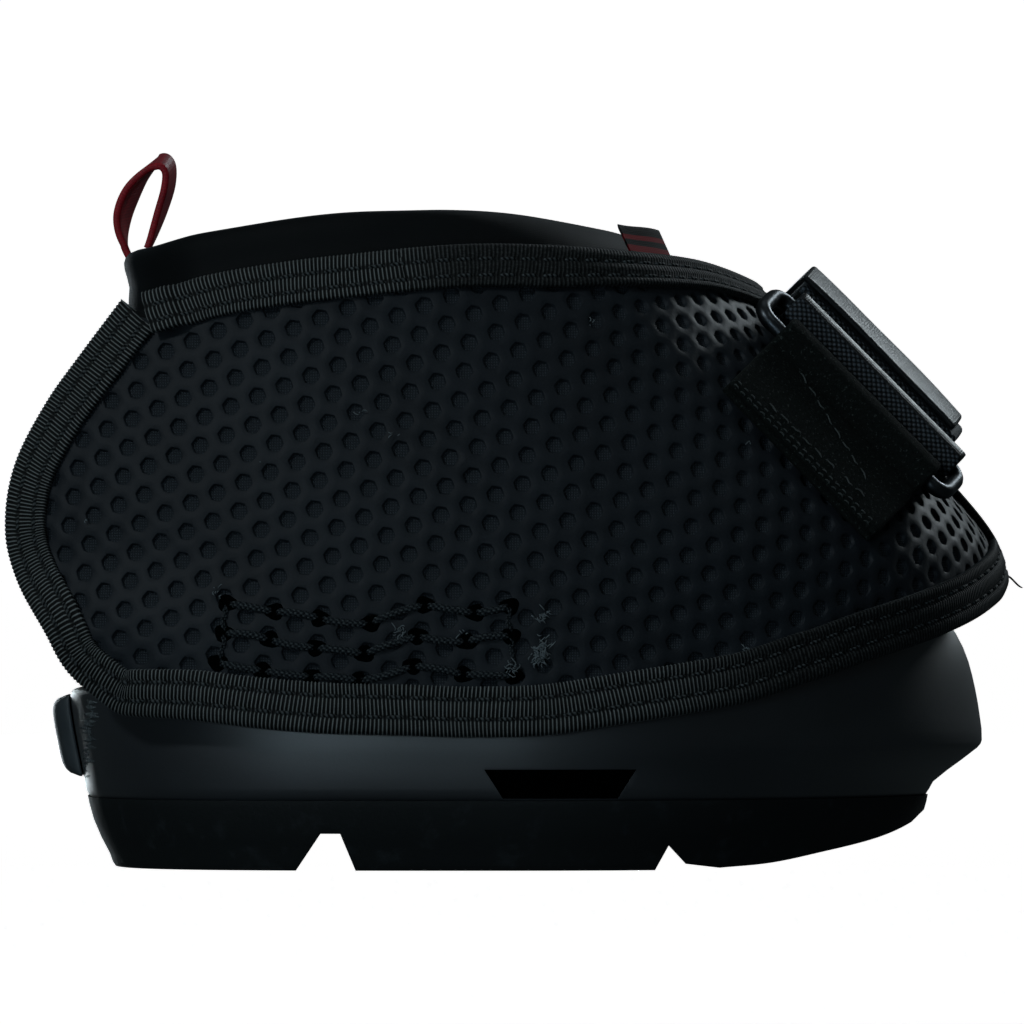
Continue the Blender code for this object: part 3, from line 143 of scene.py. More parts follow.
def frontX(z):
    return upper["frontX"] - upper["dorsalSlope"] * softRamp(z - upper["waistZ"], upper["dorsalRounding"])


def halfWidth(z):
    return upper["halfWidth"] - upper["sideLean"] * softRamp(z - upper["waistZ"], upper["sideRounding"])


def wingRise(z):
    return ease((z - upper["bottomZ"]) / (upper["waistZ"] - upper["bottomZ"]))


def wingReach(z):
    reach = upper["length"] * lerp(*upper["wingShares"], wingRise(z))
    return reach - upper["wingLean"] * softRamp(z - upper["waistZ"], upper["sideRounding"])


def wingPower(z):
    return lerp(upper["wingLowPower"], 2.0, wingRise(z))


def planPoint(angle, z, collar=False):
    cosine, sine = np.cos(angle), np.sin(angle)
    width, centre = halfWidth(z), centreX(z)
    rearReach = centre - upper["collarRearX"] + upper["collarDepth"] if collar else wingReach(z)
    rearPower = upper["collarPower"] if collar else wingPower(z)
    reach = np.where(cosine >= 0, frontX(z) - centre, rearReach)
    power = np.where(cosine >= 0, upper["toePower"], rearPower)
    forward, aside = reach * powered(cosine, power), width * powered(sine, power)
    if collar:
        share = np.clip(-forward / wingReach(z), 0, 1)
        wing = width * (1 - share ** wingPower(z)) ** (1 / wingPower(z))
        aside = np.where(cosine < 0, np.sign(aside) * np.minimum(np.abs(aside), wing), aside)
    return joined(centre + forward, aside, z + 0.0 * angle)


def upperPoint(angle, z, offset, side, collar=False):
    step, rise = 0.002, 0.002 * upper["height"]
    turn = planPoint(angle + step, z, collar) - planPoint(angle - step, z, collar)
    lift = planPoint(angle, z + rise, collar) - planPoint(angle, z - rise, collar)
    point = planPoint(angle, z, collar) + unit(np.cross(turn, lift)) * np.asarray(offset)[..., None]
    return point * (1, side, 1)


def angleAt(x, z):  # where the side view of the surface passes through x
    forward = x - centreX(z)
    ahead = np.clip(forward / (frontX(z) - centreX(z)), 0, 1) ** (upper["toePower"] / 2)
    behind = np.clip(-forward / wingReach(z), 0, 1) ** (wingPower(z) / 2)
    return np.where(forward >= 0, np.arccos(ahead), math.pi - np.arccos(behind))


def edgeZ(name):
    def height(x):
        return upper["bottomZ"] + upper["height"] * along(edgeShares[name], (x - upper["rearX"]) / upper["length"])
    return height


bottomZ, topZ = edgeZ("bottom"), edgeZ("top")


def rearEdgeX(z):
    return upper["rearX"] + upper["length"] * along(edgeShares["rear"], (z - upper["bottomZ"]) / upper["height"])


def collarTopZ(x):
    rise = along(edgeShares["collar"], (x - upper["rearX"]) / upper["length"])
    return upper["topZ"] + upper["collarRise"] * rise


def surfaceX(x, z, offset):  # where the surface shows when a point set in from it shows at x
    aim = np.asarray(x, float)
    for _ in range(12):
        aim = aim + x - upperPoint(angleAt(aim, z), z, offset, leftSide)[..., 0]
    return aim


def sharpCone(z):
    angle, rise = upper["foldAngle"], z - upper["waistZ"]
    centre = upper["rearX"] + upper["centreShare"] * upper["length"] - upper["centreLean"] * rise
    reach = upper["frontX"] - upper["dorsalSlope"] * rise - centre
    width = upper["halfWidth"] - upper["sideLean"] * rise
    return np.array((centre + reach * powered(math.cos(angle), upper["toePower"]),
                     width * powered(math.sin(angle), upper["toePower"]), z))


foldLow, foldHigh = sharpCone(upper["waistZ"]), sharpCone(upper["topZ"])
foldDirection = unit(foldHigh - foldLow)


def foldX(z):
    return foldLow[0] + (z - foldLow[2]) * foldDirection[0] / foldDirection[2]


def settle(rule, start):  # the value that a rule leaves as it is
    value = start
    for _ in range(40):
        value = (value + rule(value)) / 2
    return float(value)


foldEnds = [settle(lambda x: foldX(edge(x)), foldLow[0]) for edge in (bottomZ, topZ)]
tipX = settle(lambda x: frontX(bottomZ(x)), 0.0765)
peakX = settle(lambda x: frontX(topZ(x)), 0.0360)
rearLowX = upper["rearX"] + upper["length"] * edgeShares["bottom"][0][0]
rearHighX = upper["rearX"] + upper["length"] * edgeShares["top"][0][0]


# Patches: shares across and up give an angle and a height

def coons(bottom, top, rear, front):
    def patch(across, up):
        low, high, back, ahead = bottom(across), top(across), rear(up), front(up)
        corners = (bottom(0.0), bottom(1.0), top(0.0), top(1.0))
        result = []
        for index in (0, 1):
            ruled = lerp(low[index], high[index], up) + lerp(back[index], ahead[index], across)
            plane = lerp(lerp(corners[0][index], corners[1][index], across),
                         lerp(corners[2][index], corners[3][index], across), up)
            result.append(ruled - plane)
        return result
    return patch


def edgeCurve(edge, startX, endX, toToe=False):
    def curve(share):
        share = np.asarray(share, float)
        folded = np.where(share > 1, 2 - share, share) if toToe else share
        nearToe = 1 - (1 - np.sin(np.clip(folded, -0.2, 1) * math.pi / 2)) ** (upper["toePower"] / 2)
        x = lerp(startX, endX, nearToe if toToe else folded)
        z = edge(x)
        return np.where(share > 1, -1, 1) * angleAt(x, z) if toToe else angleAt(x, z), z
    return curve


def foldCurve(shift):
    def curve(share):
        z = lerp(bottomZ(foldEnds[0]), topZ(foldEnds[1]), share)
        return angleAt(foldX(z) + shift, z), z
    return curve


def rearCurve(share):
    heightShare = lerp(edgeShares["bottom"][0][1], edgeShares["top"][0][1], share)
    x = upper["rearX"] + upper["length"] * along(edgeShares["rear"], heightShare)
    z = upper["bottomZ"] + upper["height"] * heightShare
    return angleAt(x, z), z


def midlineCurve(share):
    return 0.0 * share, lerp(bottomZ(tipX), topZ(peakX), share)


halfGap = upper["foldGap"] / 2
sidePatch = coons(edgeCurve(bottomZ, rearLowX, foldEnds[0] - halfGap),
                  edgeCurve(topZ, rearHighX, foldEnds[1] - halfGap), rearCurve, foldCurve(-halfGap))
flapPatch = coons(edgeCurve(bottomZ, foldEnds[0] + halfGap, tipX, True),
                  edgeCurve(topZ, foldEnds[1] + halfGap, peakX, True), foldCurve(halfGap), midlineCurve)
overlapAngle = upper["overlap"] / upper["halfWidth"]


def tuckedPatch(across, up):  # the left flap goes on under the right one
    stretch = across * (1 + overlapAngle / upper["foldAngle"])
    angle, z = flapPatch(np.minimum(stretch, 1), up)
    return angle - np.maximum(stretch - 1, 0) * upper["foldAngle"], z


def flatBase(angle):
    return 0.0 * angle


def tuckedBase(angle):
    deepest, start = upper["tuckShares"]
    return -upper["recess"] * ease((start - angle / upper["foldAngle"]) / (start - deepest))


def sideParts(side):
    return (tuckedPatch, tuckedBase) if side == leftSide else (flapPatch, flatBase)


def patchPoint(patch, side, base, across, up, offset):
    across, up, offset = np.broadcast_arrays(*(np.asarray(v, float) for v in (across, up, offset)))
    angle, z = patch(across, up)
    return upperPoint(angle, z, base(angle) + offset, side)


# Mesh helpers: every piece carries its cloth coordinates in millimetres

scene = bpy.context.scene


def addPiece(name, points, faces, cloth, materials, faceMaterials=None, flatAngle=None):
    mesh = bpy.data.meshes.new(name)
    mesh.from_pydata([tuple(map(float, p)) for p in points], [], [tuple(map(int, f)) for f in faces])
    place = mesh.attributes.new("cloth", "FLOAT_VECTOR", "POINT")
    place.data.foreach_set("vector", np.asarray(cloth, np.float32).ravel())
    for material in materials:
        mesh.materials.append(material)
    if faceMaterials is not None:
        mesh.polygons.foreach_set("material_index", np.asarray(faceMaterials, np.int32))
    piece = bpy.data.objects.new(name, mesh)
    scene.collection.objects.link(piece)
    shape = bmesh.new()
    shape.from_mesh(mesh)
    bmesh.ops.recalc_face_normals(shape, faces=shape.faces)
    shape.to_mesh(mesh)
    shape.free()
    mesh.shade_smooth()
    if flatAngle:
        mesh.set_sharp_from_angle(angle=math.radians(flatAngle))
    return piece


def ringFaces(count, size, closed=False, first=0):  # quads between rings of equal size
    faces = []
    for ring in range(count if closed else count - 1):
        low, high = first + ring * size, first + (ring + 1) % count * size
        faces += [(low + i, low + (i + 1) % size, high + (i + 1) % size, high + i) for i in range(size)]
    return faces


def ringPiece(name, rings, cloth, materials, closed=False, **more):  # rings: (count, size, 3)
    rings = np.asarray(rings, float)
    count, size = rings.shape[:2]
    faces = ringFaces(count, size, closed)
    if not closed:
        faces += [tuple(range(size)), tuple(range((count - 1) * size, count * size))]
    return addPiece(name, rings.reshape(-1, 3), faces, np.asarray(cloth).reshape(-1, 3), materials, **more)


def sheetPiece(name, outer, inner, cloth, materials):  # two grids (columns, rows, 3) joined at their rims
    columns, rows = outer.shape[:2]
    index = np.arange(columns * rows).reshape(columns, rows)
    other = index + columns * rows
    faces = []
    for i in range(columns - 1):
        for j in range(rows - 1):
            faces.append((index[i, j], index[i + 1, j], index[i + 1, j + 1], index[i, j + 1]))
            faces.append((other[i, j], other[i, j + 1], other[i + 1, j + 1], other[i + 1, j]))
    rim = list(index[:, 0]) + list(index[-1, 1:]) + list(index[-2::-1, -1]) + list(index[0, -2:0:-1])
    faces += [(a, b, b + columns * rows, a + columns * rows) for a, b in zip(rim, rim[1:] + rim[:1])]
    points = np.concatenate((outer.reshape(-1, 3), inner.reshape(-1, 3)))
    cloth = np.concatenate((cloth.reshape(-1, 3),) * 2)
    return addPiece(name, points, faces, cloth, materials)


def threadPiece(name, runs, radius, material, sides=6):  # each run is a path with its outward directions
    points, faces, cloth = [], [], []
    for path, outward in runs:
        tangent = unit(np.gradient(path, axis=0))
        across = unit(np.cross(tangent, outward))
        normal = np.cross(across, tangent)
        lengths = pathLengths(path)
        thickness = radius * np.sqrt(np.clip(1 - (2 * lengths / lengths[-1] - 1) ** 6, 0.12, 1))
        first = len(points)
        for place, a, n, r, length in zip(path, across, normal, thickness, lengths):
            for i in range(sides):
                turn = 2 * math.pi * i / sides
                points.append(place + r * (math.cos(turn) * a + math.sin(turn) * n))
                cloth.append((length / mm, turn, 0))
        faces += ringFaces(len(path), sides, first=first)
        faces += [tuple(range(first, first + sides)), tuple(range(len(points) - sides, len(points)))]
    return addPiece(name, points, faces, cloth, [material])


def tubePiece(name, path, radius, material, sides=16):  # a closed wire
    path = np.asarray(path)
    tangent = unit(np.roll(path, -1, axis=0) - np.roll(path, 1, axis=0))
    normal = unit(np.cross(tangent[0], tangent[len(path) // 4]))
    across = np.cross(tangent, normal)
    turns = turnsRound(sides)
    rings = (path[:, None] + radius * (np.cos(turns)[None, :, None] * across[:, None]
                                       + np.sin(turns)[None, :, None] * normal))
    return ringPiece(name, rings, rings / mm, [material], closed=True)


def bridged(rings):  # quads between closed rings of points, and a face over the first ring
    shape = bmesh.new()
    rows = [[shape.verts.new(point) for point in ring] for ring in rings]
    for row, after in zip(rows, rows[1:]):
        for i in range(len(row)):
            j = (i + 1) % len(row)
            shape.faces.new((row[i], row[j], after[j], after[i]))
    shape.faces.new(rows[0])
    return shape, rows


def objectOf(shape, name):
    mesh = bpy.data.meshes.new(name)
    shape.to_mesh(mesh)
    shape.free()
    made = bpy.data.objects.new(name, mesh)
    scene.collection.objects.link(made)
    return made


# Materials: shader maths written as Python expressions

class Wire:
    def __init__(self, tree, socket=None):
        self.tree = tree
        self.socket = socket

    def node(self, kind, settings=None, sockets=None, out=0):
        made = self.tree.nodes.new(kind)
        for name, value in (settings or {}).items():
            if name == "stops":  # (place, shade) pairs of a ramp
                elements = made.color_ramp.elements
                while len(elements) < len(value):
                    elements.new(1.0)
                for element, (place, shade) in zip(elements, value):
                    element.position, element.color = place, (shade, shade, shade, 1)
            else:
                setattr(made, name, value)
        for name, value in (sockets or {}).items():
            if isinstance(value, Wire):
                self.tree.links.new(value.socket, made.inputs[name])
            else:
                made.inputs[name].default_value = value
        return Wire(self.tree, made.outputs[out])

    def maths(self, operation, *values):
        return self.node("ShaderNodeMath", {"operation": operation}, dict(enumerate(values)))

    def __add__(self, other):
        return self.maths("ADD", self, other)

    def __radd__(self, other):
        return self.maths("ADD", other, self)

    def __sub__(self, other):
        return self.maths("SUBTRACT", self, other)

    def __rsub__(self, other):
        return self.maths("SUBTRACT", other, self)

    def __mul__(self, other):
        return self.maths("MULTIPLY", self, other)

    def __rmul__(self, other):
        return self.maths("MULTIPLY", other, self)

    def __truediv__(self, other):
        return self.maths("DIVIDE", self, other)

    def wave(self):  # 0 to 1 and back once in each unit
        return 0.5 + 0.5 * self.maths("COSINE", 2 * math.pi * self)

    def between(self, low, high):  # 0 below low, 1 above high
        settings = {"clamp": True, "interpolation_type": "SMOOTHSTEP"}
        sockets = {"Value": self, "From Min": low, "From Max": high}
        return self.node("ShaderNodeMapRange", settings, sockets)

    def colour(self, start, stop):  # a mix of two colours by this value
        sockets = {0: self, 6: start if isinstance(start, Wire) else (*start, 1),
                   7: stop if isinstance(stop, Wire) else (*stop, 1)}
        return self.node("ShaderNodeMix", {"data_type": "RGBA"}, sockets, out=2)

    def noise(self, scale, detail=2.0, roughness=0.5, stretch=(1, 1, 1)):
        place = self.node("ShaderNodeVectorMath", {"operation": "MULTIPLY"}, {0: self, 1: stretch})
        sockets = {"Vector": place, "Scale": scale, "Detail": detail, "Roughness": roughness}
        return place.node("ShaderNodeTexNoise", None, sockets)


def makeMaterial(name, recipe, **constants):  # recipe(cloth, u, v) gives what varies over the surface
    material = bpy.data.materials.new(name)
    material.use_nodes = True
    tree = material.node_tree
    shader = tree.nodes["Principled BSDF"]
    start = Wire(tree)
    cloth = start.node("ShaderNodeAttribute", {"attribute_name": "cloth"}, out="Vector")
    parts = cloth.node("ShaderNodeSeparateXYZ", None, {0: cloth})
    second = Wire(tree, parts.socket.node.outputs[1])
    for key, value in constants.items():
        shader.inputs[key.replace("_", " ")].default_value = value
    for key, value in recipe(cloth, parts, second).items():
        if key == "height":  # in millimetres
            bump = cloth.node("ShaderNodeBump", None, {"Strength": 1.0, "Distance": mm, "Height": value})
            tree.links.new(bump.socket, shader.inputs["Normal"])
        elif isinstance(value, Wire):
            tree.links.new(value.socket, shader.inputs[key])
        else:
            shader.inputs[key].default_value = value
    return material


# crest is a painted highlight for the tops of the tapes' ribs; groove, the darkest, is painted shade between those ribs
# and in the holes, and the darkest thread and pile tone
blacks = {  # linear colours that read as near black, a little blue in the rubber and green in the cloth
    "deep": (0.0022, 0.0030, 0.0034), "fabric": (0.0085, 0.0112, 0.0145), "light": (0.0175, 0.0230, 0.0290),
    "worn": (0.050, 0.060, 0.070), "groove": (0.0012, 0.0019, 0.0019), "crest": (0.225, 0.250, 0.248),
    "pile": (0.0120, 0.0170, 0.0155)}
sheen = {"Sheen_Weight": 0.04, "Sheen_Roughness": 0.4, "Sheen_Tint": (0.6, 0.7, 0.8, 1), "Specular_IOR_Level": 0.22}
matt = {"Specular_IOR_Level": 0.15}


def honeycombSkin(cloth, u, v):
    cloud = cloth.noise(0.045, 4.0, 0.6)
    grain = cloth.noise(2.6, 3.0, 0.6)
    dust = cloth.noise(1.1, 4.0, 0.7).between(0.66, 0.74)
    tone = (0.55 * cloud + 0.45 * grain).between(0.30, 0.75)
    return {"Base Color": (0.30 * dust).colour(tone.colour(blacks["fabric"], blacks["light"]), blacks["worn"]),
            "Roughness": 0.46 + 0.22 * grain, "height": 0.035 * grain + 0.05 * cloth.noise(0.8, 2.0)}


def meshFloor(cloth, u, v):
    threads = (u / 0.42).wave() * (v / 0.42).wave()
    return {"Base Color": threads.colour((0.0130, 0.0170, 0.0210), (0.052, 0.063, 0.073)), "Roughness": 0.7,
            "height": 0.08 * threads}


def grosgrain(fade):  # ribs that wear off over this length of the tape; the third coordinate marks the sunk rows
    def recipe(cloth, u, v):
        row = Wire(cloth.tree, u.socket.node.outputs[2])
        # painted highlight and shade: the tops of the ribs take the bright crest colour and the gaps between them the
        # near-black groove colour
        rib = (u / 0.66).wave()
        fuzz = cloth.noise(3.5, 3.0, 0.7)
        # painted shade: this mask is 0 along the sunk stitching rows and 1 between them, and darkens the colour in the
        # rows
        rowShadeMask = (row + 0.45 * cloth.noise(1.1, 2.0)).between(1.05, 0.45)
        clear = (rib + 0.35 * fuzz).between(0.78, 1.28) * (0.12 + 0.88 * rowShadeMask)
        # the worn stretch keeps a weaker share of the painted rib shade and row shade
        worn = (0.30 * rib + cloth.noise(1.6, 4.0, 0.8)).between(0.52, 1.25) * (0.20 + 0.25 * rowShadeMask)
        tone = clear + u.between(*fade) * (worn - clear)
        return {"Base Color": tone.colour(blacks["groove"], blacks["crest"]), "Roughness": 0.60 + 0.2 * fuzz,
                "height": 0.08 * rib + 0.05 * fuzz}
    return recipe


def tabThreadSkin(cloth, u, v):
    fuzz = cloth.noise(1.2, 3.0, 0.7)
    return {"Base Color": fuzz.between(0.35, 0.60).colour(blacks["pile"], (0.110, 0.130, 0.130)), "Roughness": 0.7}


def twineSkin(cloth, u, v):
    fuzz = cloth.noise(1.3, 3.0, 0.7)
    ply = (u / 0.55 + v / (2 * math.pi)).wave()
    return {"Base Color": (0.5 * ply + fuzz).between(0.62, 1.25).colour(blacks["fabric"], (0.085, 0.105, 0.110)),
            "Roughness": 0.6 + 0.2 * fuzz, "height": 0.05 * ply + 0.03 * fuzz}


def seamSkin(cloth, u, v):  # black sewing thread of the binding tapes
    fuzz = cloth.noise(2.5, 2.0)
    ply = (u / 0.8 + v / (2 * math.pi)).wave()
    return {"Base Color": (0.6 * ply + 0.8 * fuzz).between(0.40, 1.10).colour(blacks["groove"], (0.085, 0.100, 0.104)),
            "Roughness": 0.6 + 0.2 * fuzz, "height": 0.06 * ply}


def frayedSkin(cloth, u, v):  # pale torn fibres
    return {"Base Color": cloth.noise(0.9, 3.0).colour((0.15, 0.17, 0.17), (0.20, 0.25, 0.28)), "Roughness": 0.85}


# painted shade: near black with no specular, for the needle-hole discs and the cup's window recess, standing in for the
# shade inside them
def holeShadeSkin(cloth, u, v):
    return {"Base Color": cloth.noise(1.5, 2.0).colour((0.0006, 0.0009, 0.0008), blacks["groove"]), "Roughness": 0.95}


def neopreneSkin(cloth, u, v):
    knit = (u / 0.36).wave() * (v / 0.36).wave()
    cloud = cloth.noise(0.06, 3.0)
    return {"Base Color": (0.4 * knit + 0.6 * cloud).colour((0.0006, 0.0015, 0.0018), (0.0018, 0.0038, 0.0046)),
            "Roughness": 0.66 + 0.15 * cloud, "height": 0.018 * knit + 0.05 * cloud}


def pileSkin(cloth, u, v):
    loops = cloth.noise(1.9, 4.0, 0.75)
    fine = cloth.noise(5.5, 2.0, 0.7)
    lint = cloth.noise(1.5, 3.0, 0.8).between(0.57, 0.70)
    tone = (loops + 0.4 * fine).between(0.35, 1.0).colour(blacks["groove"], blacks["pile"])
    return {"Base Color": (0.80 * lint).colour(tone, (0.085, 0.108, 0.102)),
            "Roughness": 0.93, "height": 0.55 * loops + 0.22 * fine}


def webbingSkin(cloth, u, v):  # plain weave: one set of dots between the other
    over = (u / 0.80).wave() * (v / 1.15).wave()
    under = (u / 0.80 + 0.5).wave() * (v / 1.15 + 0.5).wave()
    fuzz = cloth.noise(3.0, 3.0, 0.7)
    weave = over.maths("MAXIMUM", over, under)
    tone = (0.9 * weave + 0.3 * fuzz).between(0.25, 1.15)
    return {"Base Color": tone.colour((0.0022, 0.0032, 0.0038), (0.085, 0.105, 0.125)),
            "Roughness": 0.50 + 0.2 * fuzz, "height": 0.20 * weave + 0.03 * fuzz}


def coverSkin(cloth, u, v):
    knit = (u / 0.45).wave() * (v / 0.45).wave()
    cloud = cloth.noise(0.12, 3.0)
    return {"Base Color": (0.6 * cloud + 0.3 * knit).colour(blacks["deep"], (0.0120, 0.0155, 0.0185)),
            "Roughness": 0.32 + 0.16 * cloud, "height": 0.03 * knit + 0.03 * cloth.noise(0.5, 2.0)}


def mouldedSkin(cloth, u, v):  # satin shell with a fine spark texture and scuffs
    spark = cloth.noise(2.2, 4.0, 0.7)
    cloud = cloth.noise(0.05, 3.0)
    scuff = cloth.noise(0.30, 4.0, 0.7, (0.25, 1, 1.6)).between(0.62, 0.76)
    tone = (0.6 * cloud + 0.4 * spark).between(0.3, 0.8)
    return {"Base Color": (0.22 * scuff).colour(tone.colour(blacks["fabric"], blacks["light"]), blacks["worn"]),
            "Roughness": 0.42 + 0.10 * spark + 0.14 * scuff, "height": 0.03 * spark}


def treadSkin(cloth, u, v):
    spark = cloth.noise(1.6, 4.0, 0.7)
    ground = (cloth.noise(0.22, 4.0, 0.7) + 0.02 * spark).between(0.55, 0.75)
    return {"Base Color": (0.25 * ground).colour((0.0078, 0.0105, 0.0112), blacks["worn"]),
            "Roughness": 0.66 + 0.2 * ground, "height": 0.06 * spark}


def bumperSkin(cloth, u, v):
    cloud = cloth.noise(0.2, 4.0, 0.6)
    return {"Base Color": cloud.colour((0.035, 0.045, 0.052), (0.060, 0.074, 0.082)), "Roughness": 0.40 + 0.2 * cloud,
            "height": 0.03 * cloth.noise(1.2, 3.0)}


def tornSkin(cloth, u, v):
    rough = cloth.noise(1.4, 4.0, 0.8)
    return {"Base Color": rough.between(0.35, 0.7).colour(blacks["light"], (0.22, 0.26, 0.27)), "Roughness": 0.8,
            "height": 0.35 * rough}


def ribbonSkin(cloth, u, v):
    rib = (u / 0.55).wave()
    strand = (v / 0.50).wave()
    cloud = cloth.noise(0.3, 3.0)
    tone = (0.15 * rib + 0.1 * strand + 0.6 * cloud).between(0.10, 0.75)
    return {"Base Color": tone.colour((0.22, 0.010, 0.016), (0.50, 0.022, 0.034)),
            "Roughness": 0.36 + 0.2 * cloud, "height": 0.015 * rib + 0.012 * strand}


def tabSkin(cloth, u, v):  # plain woven stripes
    stripes = ((v - 2.6).maths("ABSOLUTE", v - 2.6).between(0.60, 0.50)
               + (v - 4.5).maths("ABSOLUTE", v - 4.5).between(0.45, 0.35))
    weave = (u / 0.30).wave() * (v / 0.30).wave()
    return {"Base Color": stripes.colour(blacks["deep"], (0.30, 0.010, 0.016)),
            "Roughness": 0.70 + 0.1 * weave, "height": 0.03 * weave}


def wireSkin(cloth, u, v):
    scratch = cloth.noise(0.8, 4.0, 0.7)
    return {"Base Color": scratch.colour((0.035, 0.040, 0.046), (0.11, 0.12, 0.13)), "Roughness": 0.28 + 0.2 * scratch,
            "Metallic": 1.0}


skins = {
    "honeycomb": makeMaterial("honeycombSkin", honeycombSkin, **sheen),
    "floor": makeMaterial("meshFloor", meshFloor, **matt),
    "seam": makeMaterial("seamThread", seamSkin, **matt),
    "tabThread": makeMaterial("tabThread", tabThreadSkin, **matt),
    "twine": makeMaterial("heavyTwine", twineSkin, **matt),
    "frayed": makeMaterial("frayedFibres", frayedSkin, **matt),
    "holeShade": makeMaterial("needleHoleShade", holeShadeSkin, Specular_IOR_Level=0.0),
    "neoprene": makeMaterial("neopreneSkin", neopreneSkin, **sheen),
    "pile": makeMaterial("pileSkin", pileSkin, **matt),
    "webbing": makeMaterial("webbingSkin", webbingSkin, **sheen),
    "cover": makeMaterial("coverSkin", coverSkin, Specular_IOR_Level=0.35),
    "shell": makeMaterial("mouldedSkin", mouldedSkin, Specular_IOR_Level=1.0, Coat_Weight=0.8, Coat_Roughness=0.42),
    "tread": makeMaterial("treadSkin", treadSkin, Specular_IOR_Level=0.25),
    "bumper": makeMaterial("bumperSkin", bumperSkin),
    "torn": makeMaterial("tornSkin", tornSkin, **matt),
    "ribbon": makeMaterial("ribbonSkin", ribbonSkin, **sheen),
    "tab": makeMaterial("tabSkin", tabSkin, **matt),
    "wire": makeMaterial("wireSkin", wireSkin)}
tapeFades = {"bottom": (165, 192), "top": (38, 53), "front": (-3, -2)}  # millimetres from the tape's start
for edge, fade in tapeFades.items():
    skins[edge] = makeMaterial("grosgrain" + edge.capitalize(), grosgrain(fade), **sheen)
print("materials made:", len(skins))


# The fold line of each flap, where fabric goes over from the body to the flap; a piece on no single body gets the ends
# of this line worked out and its transform baked

fold = {"width": 0.010}


def bendAtFold(piece, side):
    middle = upperPoint(np.array(upper["foldAngle"]), np.array(foldLow[2]), 0.0, side)
    outward = unit(upperPoint(np.array(upper["foldAngle"]), np.array(foldLow[2]), mm, side) - middle)
    across = unit(np.cross(foldDirection * (1, side, 1), outward))
    across *= np.sign(across[0])
    start, end = (tuple(middle + across * fold["width"] * share) for share in (-0.5, 0.5))
    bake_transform(piece)
    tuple(start)
    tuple(end)


def declare(piece, slot, nodes=(), body=None, side=None):
    if nodes:
        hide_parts(*nodes)
    if body:
        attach(piece, body)
    else:
        bendAtFold(piece, side)


# Honeycomb fabric: real hexagonal pits over each panel and its flap

honeycomb = {
    "pitch": 4.70 * mm, "turn": math.radians(20.7), "pit": 2.60 * mm, "margin": 2.75 * mm,
    "anchor": (-0.0072, 0.0300), "rings": ((0.12, 0.03), (0.03, -0.02), (-0.02, -0.14), (-0.06, -0.62), (-0.15, -0.68)),
    "crown": 0.05 * mm, "toeStretch": 1.33, "floorFrom": 4,
    "grid": (45, 32), "reach": ((0.02, 0.115), (0.065, 0.055)),
    "heights": (0.016, 0.106, 75), "distances": (-0.105, 0.140, 491), "spread": 901}  # tables of the flattened plan


def flattenedPlan():  # tables between the angle and the distance round the hoof, for many heights
    heights = np.linspace(*honeycomb["heights"])
    spread = np.linspace(-1, 1, honeycomb["spread"])  # closest where the blunt heel begins, a quarter turn from the toe
    angles = math.pi / 2 + np.where(spread > 0, math.pi / 2 * np.abs(spread) ** 1.8,
                                    -(math.pi / 2 + 0.55) * np.abs(spread) ** 1.15)
    distances = np.linspace(*honeycomb["distances"])
    rounds, table = [], []
    for z in heights:
        lengths = pathLengths(planPoint(angles, np.full_like(angles, z)))
        anchor = np.interp(float(angleAt(honeycomb["anchor"][0], z)), angles, lengths)
        rounds.append(anchor - lengths)
        table.append(np.interp(distances, (anchor - lengths)[::-1], spread[::-1]))
    return heights, distances, spread, angles, np.array(rounds), np.array(table)


planHeights, planDistances, planSpread, planAngles, planRounds, planTable = flattenedPlan()


def readTable(table, rowValues, columnValues, row, column):  # between four neighbours
    i = np.clip((row - rowValues[0]) / (rowValues[1] - rowValues[0]), 0, len(rowValues) - 1.001)
    j = np.clip((column - columnValues[0]) / (columnValues[1] - columnValues[0]), 0, len(columnValues) - 1.001)
    m, n = i.astype(int), j.astype(int)
    lower = lerp(table[m, n], table[m, n + 1], j - n)
    return lerp(lower, lerp(table[m + 1, n], table[m + 1, n + 1], j - n), i - m)


def clothStretch(angle):
    return lerp(honeycomb["toeStretch"], 1.0, ease(angle / upper["foldAngle"]))


def unflatten(flat):  # flat (distance, height) to (angle, z): the toe's slope takes up more cloth
    z = flat[..., 1]
    for _ in range(4):
        spread = readTable(planTable, planHeights, planDistances, z, flat[..., 0])
        angle = np.interp(spread, planSpread, planAngles)
        rise = flat[..., 1] - upper["waistZ"]
        z = upper["waistZ"] + np.where(rise > 0, rise / clothStretch(angle), rise)
    return angle, z


def flatten(angle, z):
    distance = readTable(planRounds, planHeights, planSpread, z, np.interp(angle, planAngles, planSpread))
    rise = z - upper["waistZ"]
    return joined(distance, upper["waistZ"] + np.where(rise > 0, rise * clothStretch(angle), rise))


def insideEdges(angle, z, side):
    flap = sideParts(side)[0]
    place = planPoint(angle, z)
    x = place[..., 0]
    tipZ, peakZ = bottomZ(tipX), topZ(peakX)
    past = angle < 0
    inside = np.where(past, (z > tipZ) & (z < peakZ), (z > bottomZ(x)) & (z < topZ(x)) & (x > rearEdgeX(z)))
    inside &= angle > (-overlapAngle if side == leftSide else 0)
    shares = np.linspace(0, 1, 240)
    border = []
    for patch in (sidePatch, flap):
        for up in (0.0, 1.0):
            border.append(patchPoint(patch, rightSide, flatBase, shares, up, 0.0))
    border.append(patchPoint(sidePatch, rightSide, flatBase, 0.0, shares, 0.0))
    border.append(patchPoint(flap, rightSide, flatBase, 1.0, shares, 0.0))
    border = np.concatenate(border)
    here = place * (1, -1, 1)
    nearest = np.array([np.min(np.linalg.norm(border - point, axis=1)) for point in here])
    return inside & (nearest > honeycomb["margin"])


